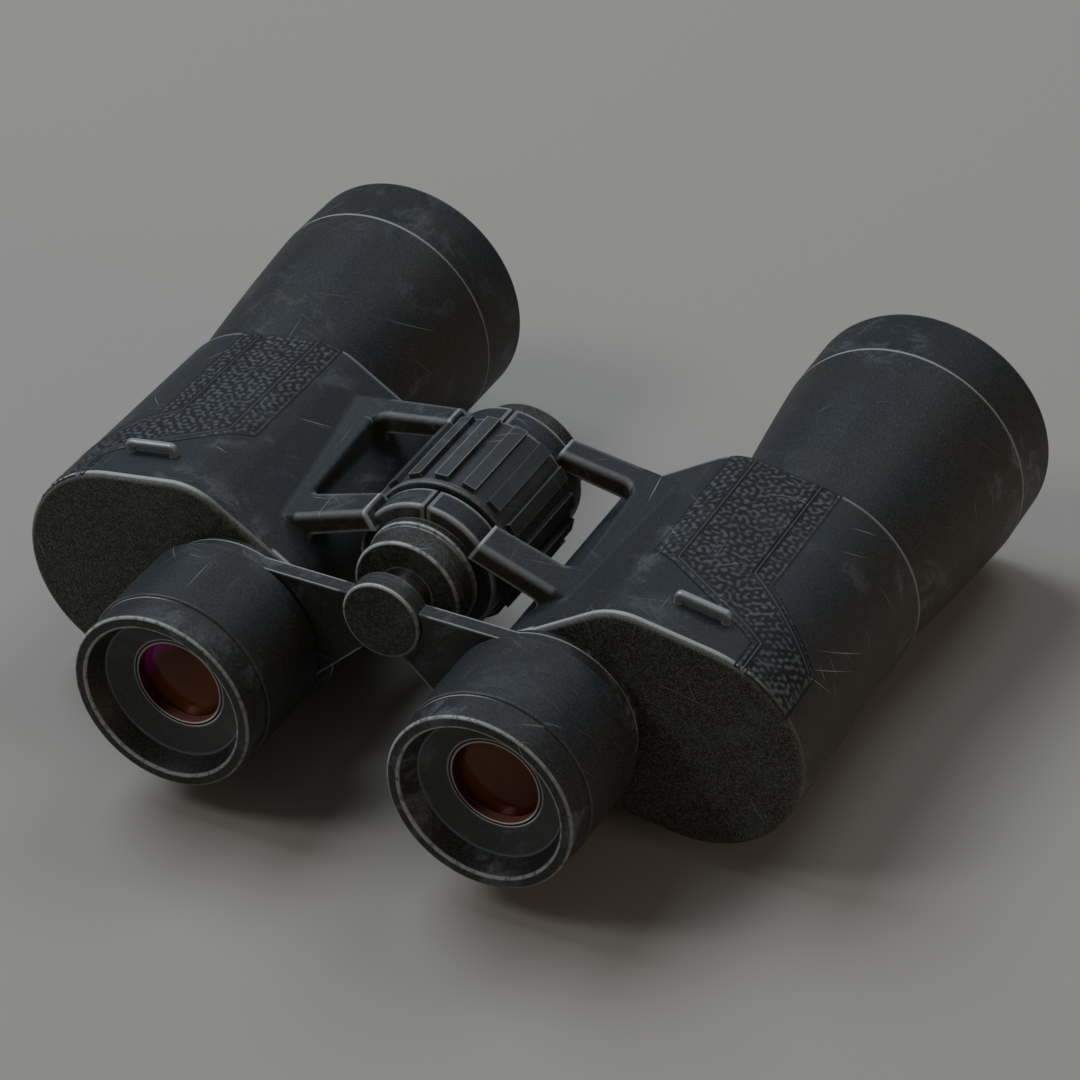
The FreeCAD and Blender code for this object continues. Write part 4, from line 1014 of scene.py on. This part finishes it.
@dataclass
class GripPanel:
    """One leatherette panel, wrinkled and grooved, over its solid in the frame.

    Its sizes are in millimetres and its angle is in degrees. The outline and the grooves are those of the
    right half in plan.
    """

    side: Side
    node: bpy.types.Object
    seats: Sequence[bpy.types.Object]
    outline: Line = (
        (47.3, 15.5), (47.3, -22.6), (76.1, -38.2), (76.1, -46.4), (87.8, -46.4), (87.8, -32.0), (73.1, -20.4),
        (73.1, 15.5),
    )
    inner_sides: Sequence[tuple[int, int]] = ((1, 2), (2, 3), (5, 6), (6, 7))
    inner_groove: Line = ((53.3, 16.0), (53.3, -23.67), (77.9, -37.0), (77.9, -46.0))
    outer_groove: Line = ((68.3, 16.0), (68.3, -18.9), (86.6, -32.9))
    groove_cuts: Sequence[float] = (-0.56, -0.34, -0.17, 0.17, 0.34, 0.56)
    groove_walls: Range = (0.2, 0.5)
    groove_depth: float = 0.3
    groove_margin: float = 0.55
    groove_ease: float = 0.4
    strip_tone: float = 0.6
    border_ease: float = 0.5
    border_line: float = 0.15
    border_soft: float = 0.2
    cell: float = 0.21
    weld: float = 0.03
    start_height: float = 80.0
    thickness: float = 0.7
    smooth_angle: float = 60.0
    wrinkle: float = 0.14
    level: float = -0.15
    soft: float = 1.3
    proud: float = 0.1
    period: float = 1.42
    drift: float = 0.35
    drift_pace: float = 0.25
    patch: float = 6.0
    patch_height: float = 0.85
    patch_swing: float = 0.4
    lowest: float = 0.5
    ways: Sequence[Vector] = field(default_factory=lambda: spiral_ways(6))

    def build(self) -> bpy.types.Object:
        """Build the panel.

        Returns:
            The finished piece.
        """
        piece = self.sheet()
        outer = self.drape(piece)
        self.emboss(piece, outer)
        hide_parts(self.node.name)
        dress(piece, LEATHER.material())
        settle(piece, f"{self.side.prefix}_leatherette", self.side.body)
        return piece

    def sheet(self) -> bpy.types.Object:
        """Cut a fine flat grid to the panel's outline, with edges along its grooves.

        Returns:
            The flat sheet, above the housing.
        """
        xs, ys = zip(*self.outline)
        width, depth = max(xs) - min(xs), max(ys) - min(ys)
        deselect_all()
        bpy.ops.mesh.primitive_grid_add(
            x_subdivisions=round(width / self.cell), y_subdivisions=round(depth / self.cell), size=1,
            location=((max(xs) + min(xs)) / 2 * MM, (max(ys) + min(ys)) / 2 * MM, self.start_height * MM))
        sheet = bpy.context.object
        sheet.scale = (width * MM, depth * MM, 1)
        bpy.ops.object.transform_apply(location=True, rotation=False, scale=True)
        edit()
        self.trim()
        for line in (self.inner_groove, self.outer_groove):
            for first, second in zip(line, line[1:]):
                for offset in self.groove_cuts:
                    self.cut(first, second, offset)
        bpy.ops.mesh.select_all(action="SELECT")
        bpy.ops.mesh.remove_doubles(threshold=self.weld * MM)
        bpy.ops.mesh.select_all(action="DESELECT")
        leave()
        return sheet

    def cut(self, first: tuple[float, float], second: tuple[float, float], offset: float) -> None:
        """Cut the sheet along a line in plan.

        Args:
            first: The line's start.
            second: Its end.
            offset: How far to the left of the line the cut lies.
        """
        along = Vector((second[0] - first[0], second[1] - first[1], 0)).normalized()
        left = Vector((-along.y, along.x, 0))
        point = (Vector((*first, 0)) + left * offset) * MM
        bpy.ops.mesh.select_all(action="SELECT")
        bpy.ops.mesh.bisect(plane_co=point, plane_no=left, threshold=1e-7)

    def trim(self) -> None:
        """Cut the sheet along the outline's sides that lie inside its box, and throw away what is outside."""
        for start, end in self.inner_sides:
            self.cut(self.outline[start], self.outline[end], 0)
        bpy.ops.mesh.select_mode(type="FACE")
        leave()
        for face in bpy.context.object.data.polygons:
            face.select = not self.inside(face.center.x / MM, face.center.y / MM)
        edit()
        bpy.ops.mesh.delete(type="FACE")
        bpy.ops.mesh.select_mode(type="VERT")

    def inside(self, x: float, y: float) -> bool:
        """Tell whether a point in plan lies inside the outline.

        Args:
            x: The point's x.
            y: Its y.

        Returns:
            True inside the outline.
        """
        found = False
        corners = list(self.outline)
        for (ax, ay), (bx, by) in zip(corners, corners[1:] + corners[:1]):
            if (ay > y) != (by > y) and x < (bx - ax) * (y - ay) / (by - ay) + ax:
                found = not found
        return found

    def drape(self, piece: bpy.types.Object) -> int:
        """Lay the sheet on the panel's solid, mirrored for the left half, and give it its thickness.

        Args:
            piece: The flat sheet.

        Returns:
            How many vertices the outer face has; they come first.
        """
        piece.scale.x = self.side.value
        form = self.form()
        activate(piece)
        bpy.ops.object.transform_apply(location=False, rotation=False, scale=True)
        modify(
            piece, "drape", "SHRINKWRAP", target=form, wrap_method="PROJECT", use_project_z=True,
            use_negative_direction=True, use_positive_direction=False)
        bpy.data.objects.remove(form)
        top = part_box(self.node.name)[1].z
        for vertex in piece.data.vertices:
            vertex.select = vertex.co.z > top + MM
        under = sum(face.normal.z for face in piece.data.polygons) < 0
        edit()
        bpy.ops.mesh.delete(type="VERT")
        if under:
            bpy.ops.mesh.select_all(action="SELECT")
            bpy.ops.mesh.flip_normals()
        leave()
        outer = len(piece.data.vertices)
        modify(piece, "wall", "SOLIDIFY", thickness=self.thickness * MM, offset=-1)
        bpy.ops.object.shade_smooth_by_angle(angle=math.radians(self.smooth_angle))
        return outer

    def form(self) -> bpy.types.Object:
        """Join copies of the solids under the panel.

        Returns:
            The joined copy, to drape on and throw away.
        """
        deselect_all()
        for seat in self.seats:
            seat.select_set(True)
        bpy.context.view_layer.objects.active = self.seats[0]
        bpy.ops.object.duplicate()
        bpy.ops.object.join()
        return bpy.context.object

    def emboss(self, piece: bpy.types.Object, outer: int) -> None:
        """Press the wrinkles and grooves into the outer face, and keep both as attributes.

        Args:
            piece: The draped panel.
            outer: How many vertices its outer face has.
        """
        mesh = piece.data
        for name in ("ridge", "groove"):
            mesh.attributes.new(name, "FLOAT", "POINT")
        ridge, groove = mesh.attributes["ridge"], mesh.attributes["groove"]
        normals = [vertex.normal.copy() for vertex in mesh.vertices]
        border = [*self.outline, self.outline[0]]
        inner_wall, outer_wall = self.groove_walls
        for index in range(outer):
            vertex = mesh.vertices[index]
            x, y = vertex.co.x * self.side.value / MM, vertex.co.y / MM
            line = min(self.away(x, y, self.inner_groove), self.away(x, y, self.outer_groove))
            edge = self.away(x, y, border)
            cut = 1.0 if inner_wall < line < outer_wall else 0.0
            flat = clamp((line - self.groove_margin) / self.groove_ease) * clamp(edge / self.border_ease)
            worm = self.worm(vertex.co) * flat
            drop = self.groove_depth * cut + self.wrinkle * (flat - worm) - self.proud
            vertex.co -= normals[index] * drop * MM
            # The ridge value is partly a rubbed pale tone and partly a painted highlight on the ridge tops and on
            # the strip between a groove's walls.
            ridge.data[index].value = worm if line > inner_wall else self.strip_tone
            # Painted shade: the groove value darkens the cut grooves; along the border it is a dark joint.
            groove.data[index].value = max(cut, 1.0 - clamp((edge - self.border_line) / self.border_soft))

    def worm(self, place: Vector) -> float:
        """Return the height of the curly ridges at a point: many equal waves that cross at all angles.

        Args:
            place: The point.

        Returns:
            1 on a ridge's middle, 0 between ridges, fading out where the ridges are low.
        """
        at = place / (self.period * MM)
        at = (at + noise.noise_vector(at * self.drift_pace) * self.drift) * math.tau
        total = sum(math.cos(at.dot(way) + SPIRAL_TURN * index * index) for index, way in enumerate(self.ways))
        rise = clamp((total * math.sqrt(2 / len(self.ways)) - self.level) / self.soft)
        height = self.patch_height + self.patch_swing * noise.noise(place / (self.patch * MM))
        return min(1.0, max(self.lowest, height)) * rise * rise * (3.0 - 2.0 * rise)

    @staticmethod
    def away(x: float, y: float, line: Line) -> float:
        """Return a point's distance from a line of straight runs in plan.

        Args:
            x: The point's x.
            y: Its y.
            line: The line's corners.

        Returns:
            The distance.
        """
        best = math.inf
        for (ax, ay), (bx, by) in zip(line, line[1:]):
            ux, uy = bx - ax, by - ay
            t = clamp(((x - ax) * ux + (y - ay) * uy) / (ux * ux + uy * uy))
            best = min(best, math.hypot(x - ax - ux * t, y - ay - uy * t))
        return best


@dataclass
class ObjectiveLens:
    """One objective lens: a ground edge and two domed faces, with an even gloss up to their middles.

    Its sizes are in metres and its angles in degrees.
    """

    side: Side
    node: bpy.types.Object
    edge: float = 5.5 * MM
    bevel: float = 0.3 * MM
    bevel_angle: float = 50.0
    smooth_angle: float = 35.0
    rings: int = 12
    segments: int = 96

    def build(self, glass: bpy.types.Material) -> bpy.types.Object:
        """Build the lens in its node's place.

        Args:
            glass: The lens's material.

        Returns:
            The finished piece.
        """
        piece = self.dome()
        modify(piece, "both_sides", "MIRROR", use_axis=(False, True, False))
        edit("SELECT")
        bpy.ops.mesh.normals_make_consistent(inside=False)
        bpy.ops.mesh.select_all(action="DESELECT")
        leave()
        modify(
            piece, "ground_edge", "BEVEL", width=self.bevel, segments=2, limit_method="ANGLE",
            angle_limit=math.radians(self.bevel_angle))
        bpy.ops.object.shade_smooth_by_angle(angle=math.radians(self.smooth_angle))
        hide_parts(self.node.name)
        dress(piece, glass)
        settle(piece, f"{self.side.prefix}_objective_glass", self.side.body)
        return piece

    def dome(self) -> bpy.types.Object:
        """Model half of the lens: half its edge, and one face as rings that rise to the middle.

        Returns:
            The half, open where the other half joins it.
        """
        low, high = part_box(self.node.name)
        middle = (low + high) / 2
        radius, bulge = (high.z - low.z) / 2, (high.y - low.y - self.edge) / 2
        deselect_all()
        bpy.ops.mesh.primitive_circle_add(
            vertices=self.segments, radius=radius, location=middle, rotation=(math.radians(90), 0, 0))
        bpy.ops.object.transform_apply(location=False, rotation=True, scale=True)
        edit("SELECT")
        self.raise_edge(self.edge / 2)
        curve = (radius * radius + bulge * bulge) / (2 * bulge)
        depth, wide = 0.0, radius
        for ring in range(1, self.rings + 1):
            across = radius * math.cos(ring / (self.rings + 1) * math.pi / 2)
            rise = math.sqrt(curve * curve - across * across) - (curve - bulge)
            self.raise_edge(rise - depth)
            centre = (middle.x, middle.y + self.edge / 2 + rise, middle.z)
            bpy.ops.transform.resize(value=(across / wide, 1, across / wide), center_override=centre)
            depth, wide = rise, across
        self.raise_edge(bulge - depth)
        bpy.ops.mesh.merge(type="CENTER")
        leave()
        return bpy.context.object

    @staticmethod
    def raise_edge(height: float) -> None:
        """Extrude the selected ring of edges along the lens's axis."""
        bpy.ops.mesh.extrude_region_move(TRANSFORM_OT_translate={"value": (0, height, 0)})


@dataclass
class Instrument:
    """The whole pair: gives every node of the frame its finish."""

    nodes: dict[str, bpy.types.Object]
    shared: dict[str, Finish] = field(default_factory=lambda: {
        "hinge_axle": SPRING_STEEL,
        "wheel_core": WHEEL_PLASTIC,
        "wheel_plug": WHEEL_PLASTIC,
        "wheel_grip": WHEEL_RUBBER,
        "focus_shaft": SPRING_STEEL,
        "drive_pin": SPRING_STEEL,
    })
    paired: dict[str, Finish] = field(default_factory=lambda: {
        "housing": BLACK_ENAMEL,
        "rear_cover": COVER_ENAMEL,
        "guide_collar": MATT_BLACK,
        "prism_shelf": MATT_BLACK,
        "rear_prism_clip": SPRING_STEEL,
        "front_prism_clip": SPRING_STEEL,
        "grip_panel": LEATHER,
        "strap_lug": LUG_STEEL,
        "barrel": BARREL_ENAMEL,
        "front_ring": RING_ENAMEL,
        "objective_cell": MATT_BLACK,
        "objective_retainer": MATT_BLACK,
        "bridge_arm": BRIDGE_ENAMEL,
        "eyepiece_sleeve": MATT_BLACK,
        "eyepiece_tube": TUBE_ENAMEL,
        "eye_cell": DISH_BLACK,
    })
    # Each tint trio: the middle colour, the darker edge colour that also carries the painted shade, and the
    # colour of the painted coating reflection.
    amber: Sequence[Colour] = ((0.120, 0.032, 0.003), (0.036, 0.005, 0.002), (0.40, 0.020, 0.26))
    green: Sequence[Colour] = ((0.010, 0.028, 0.030), (0.014, 0.008, 0.026), (0.10, 0.03, 0.14))
    plain: Sequence[Colour] = ((0.6, 0.62, 0.62), (0.5, 0.52, 0.52), (0.6, 0.6, 0.6))

    def dress(self) -> None:
        """Put a finish on every node of the frame."""
        for name, finish in self.shared.items():
            dress(self.nodes[name], finish.material())
        for side in Side:
            for part, finish in self.paired.items():
                dress(self.nodes[f"{side.prefix}_{part}"], finish.material())
            self.dress_eyecup(side)
            self.glaze(side)
        self.dress_turned()
        LOG.info("dressed %d nodes", len(self.nodes))

    def dress_turned(self) -> None:
        """Put finishes with rubbed circles on the pieces turned about the hinge and the focus shaft.

        Each has the wear of its other edges, and a radius (0 for its own) and a station for every circle.
        """
        steps = {
            "rear_hinge_boss": (0.35, (12.3 * MM, 0.0), (12.9 * MM, 6.8 * MM)),
            "front_hinge_cap": (0.5, (13.0 * MM, 7.0 * MM)),
            "bridge_cap": (0.0, (0.0, 0.0)),
        }
        for name, (elsewhere, *edges) in steps.items():
            low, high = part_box(name)
            outer = (high.x - low.x) / 2
            finish = TurnedFinish(
                f"{name}_enamel", (0.0125, 0.0138, 0.0145), (0.0130, 0.0126, 0.0104), flecks=0.85,
                fleck=(0.072, 0.070, 0.058), dust=0.4, wear=1.0, reach=0.5 * MM, worn=(0.44, 0.46, 0.47),
                centre=tuple((low + high) / 2), elsewhere=elsewhere,
                rims=tuple((radius or outer, low.y + station) for radius, station in edges))
            dress(self.nodes[name], finish.material())

    def dress_eyecup(self, side: Side) -> None:
        """Put finishes on the eyecup and the ring round the eye lens of one half.

        Args:
            side: The half.
        """
        cup, ring = f"{side.prefix}_eyecup", f"{side.prefix}_eye_ring"
        cup_low, cup_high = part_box(cup)
        low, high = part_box(ring)
        centre = tuple((low + high) / 2)
        plastic = CupPlastic(
            f"{cup}_plastic", (0.0110, 0.0130, 0.0150), (0.0085, 0.0085, 0.0070), flecks=0.55, wear=1.0,
            reach=0.5 * MM, lean=0.2, worn=(0.38, 0.39, 0.395), centre=centre,
            rims=(((cup_high.x - cup_low.x) / 2, cup_low.y),), lips=((18.3 * MM, cup_low.y),), front=cup_high.y)
        metal = RimMetal(
            f"{ring}_metal", (0.40, 0.39, 0.38), (0.30, 0.29, 0.28), roughness=0.3, metallic=0.7, wear=0.0,
            dust=0.1, flecks=0.1, centre=centre, outer=(high.x - low.x) / 2)
        dress(self.nodes[cup], plastic.material())
        dress(self.nodes[ring], metal.material())

    def glaze(self, side: Side) -> None:
        """Put a glass on every lens and prism of one half.

        Args:
            side: The half.
        """
        # Where each half's glass takes its painted shade and its painted reflection.
        lit = {
            Side.LEFT: {"light_side": (0.5, 0.0, -0.2), "bloom_side": (-0.8, 0.0, 0.6), "bloom_start": 0.4},
            Side.RIGHT: {"light_side": (-0.66, 0.0, 0.75), "bloom_side": (0.95, 0.0, -0.3), "bloom_start": 0.86},
        }[side]
        for part, tints, clear, rough, specular in (
            ("eye_lens", self.amber, 0.0, 0.1, 0.12),
            ("field_lens", self.green, 0.6, 0.04, 0.5),
            ("objective_lens", self.green, 0.25, 0.04, 0.5),
            ("rear_prism", self.plain, 0.9, 0.04, 0.5),
            ("front_prism", self.plain, 0.9, 0.04, 0.5),
        ):
            name = f"{side.prefix}_{part}"
            low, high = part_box(name)
            glass = LensGlass(
                f"{name}_glass", *tints, tuple((low + high) / 2), (high.z - low.z) / 2, clear,
                roughness=rough, specular=specular, **lit)
            dress(self.nodes[name], glass.material())


# ---------------------------------------------------------------- studio


@dataclass(frozen=True)
class Lamp:
    """A round soft lamp: where it hangs round the object, its size and its light."""

    name: str
    azimuth: float
    elevation: float
    distance: float
    size: float
    power: float
    colour: Colour

    def hang(self, target: Vector) -> None:
        """Hang the lamp and aim it.

        Args:
            target: The point it shines on.
        """
        data = bpy.data.lights.new(self.name, "AREA")
        data.shape = "DISK"
        data.size = self.size
        data.energy = self.power
        data.color = self.colour
        a, e = math.radians(self.azimuth), math.radians(self.elevation)
        back = Vector((math.sin(a) * math.cos(e), -math.cos(a) * math.cos(e), math.sin(e)))
        lamp = bpy.data.objects.new(self.name, data)
        lamp.location = target + back * self.distance
        lamp.rotation_euler = back.to_track_quat("Z", "Y").to_euler()
        bpy.context.scene.collection.objects.link(lamp)


@dataclass
class Studio:
    """The floor, lamps and camera."""

    target: Vector = field(default_factory=lambda: Vector((7.8293, 3.0404, 30.0)) * MM)
    azimuth: float = 27.17
    elevation: float = 35.48
    roll: float = -0.58
    distance: float = 805.42 * MM
    lens: float = 122.96
    sensor: float = 36.0
    clip: Range = (0.05, 20.0)
    floor_size: float = 12.0
    floor_drop: float = 0.2 * MM
    floor_shade: Colour = (0.35, 0.328, 0.308)
    sky: Colour = (0.085, 0.083, 0.078)
    lamps: Sequence[Lamp] = (
        Lamp("key", -108, 55, 3.0, 2.0, 57.0, (0.82, 0.92, 1.0)),
        Lamp("fill", 80, 10, 1.7, 1.0, 5.6, (1.0, 0.76, 0.50)),
        Lamp("front", -50, 46, 1.7, 0.5, 5.0, (1.0, 0.99, 0.95)),
        Lamp("back", 165, 55, 1.6, 0.8, 4.5, (0.88, 0.95, 1.0)),
    )

    def build(self) -> None:
        """Build the whole studio."""
        self.camera()
        self.floor()
        for lamp in self.lamps:
            lamp.hang(self.target)
        self.world()
        bpy.context.scene.view_settings.view_transform = "Standard"

    def camera(self) -> None:
        """Place the camera."""
        data = bpy.data.cameras.new("camera")
        data.lens = self.lens
        data.sensor_width = self.sensor
        data.clip_start, data.clip_end = self.clip
        turn = Euler((math.radians(90 - self.elevation), 0, math.radians(self.azimuth))).to_matrix()
        turn = turn @ Matrix.Rotation(math.radians(self.roll), 3, "Z")
        camera = bpy.data.objects.new("camera", data)
        camera.matrix_world = Matrix.Translation(self.target + turn.col[2] * self.distance) @ turn.to_4x4()
        bpy.context.scene.collection.objects.link(camera)
        bpy.context.scene.camera = camera

    def floor(self) -> None:
        """Lay a plain floor under the object."""
        deselect_all()
        bpy.ops.mesh.primitive_plane_add(size=self.floor_size, location=(0, 0, -self.floor_drop))
        floor = bpy.context.object
        floor.name = "floor"
        bpy.ops.object.transform_apply(location=True, rotation=False, scale=True)
        made, wires = blank_material("floor")
        inputs = {"Base Color": self.floor_shade, "Roughness": 0.9, "Specular IOR Level": 0.1}
        shader = wires.add("BsdfPrincipled", inputs)
        wires.add("OutputMaterial", {0: shader.outputs[0]})
        floor.data.materials.append(made)

    def world(self) -> None:
        """Surround the object with an even soft light."""
        world = bpy.data.worlds.new("world")
        world.use_nodes = True
        colour, strength = world.node_tree.nodes["Background"].inputs[:2]
        colour.default_value = (*self.sky, 1.0)
        strength.default_value = 1.0
        bpy.context.scene.world = world


def main() -> None:
    """Build the binoculars and their studio."""
    logging.basicConfig(level=logging.INFO, format="%(name)s: %(message)s")
    noise.seed_set(SEED)
    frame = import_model()
    nodes = frame["nodes"]
    Studio().build()
    Instrument(nodes).dress()
    for side in Side:
        panel, *others = (nodes[f"{side.prefix}_{part}"] for part in ("grip_panel", "housing", "rear_cover"))
        GripPanel(side, panel, [panel, *others]).build()
        lens = nodes[f"{side.prefix}_objective_lens"]
        ObjectiveLens(side, lens).build(lens.material_slots[0].material)
    deselect_all()


if __name__ == "__main__":
    main()
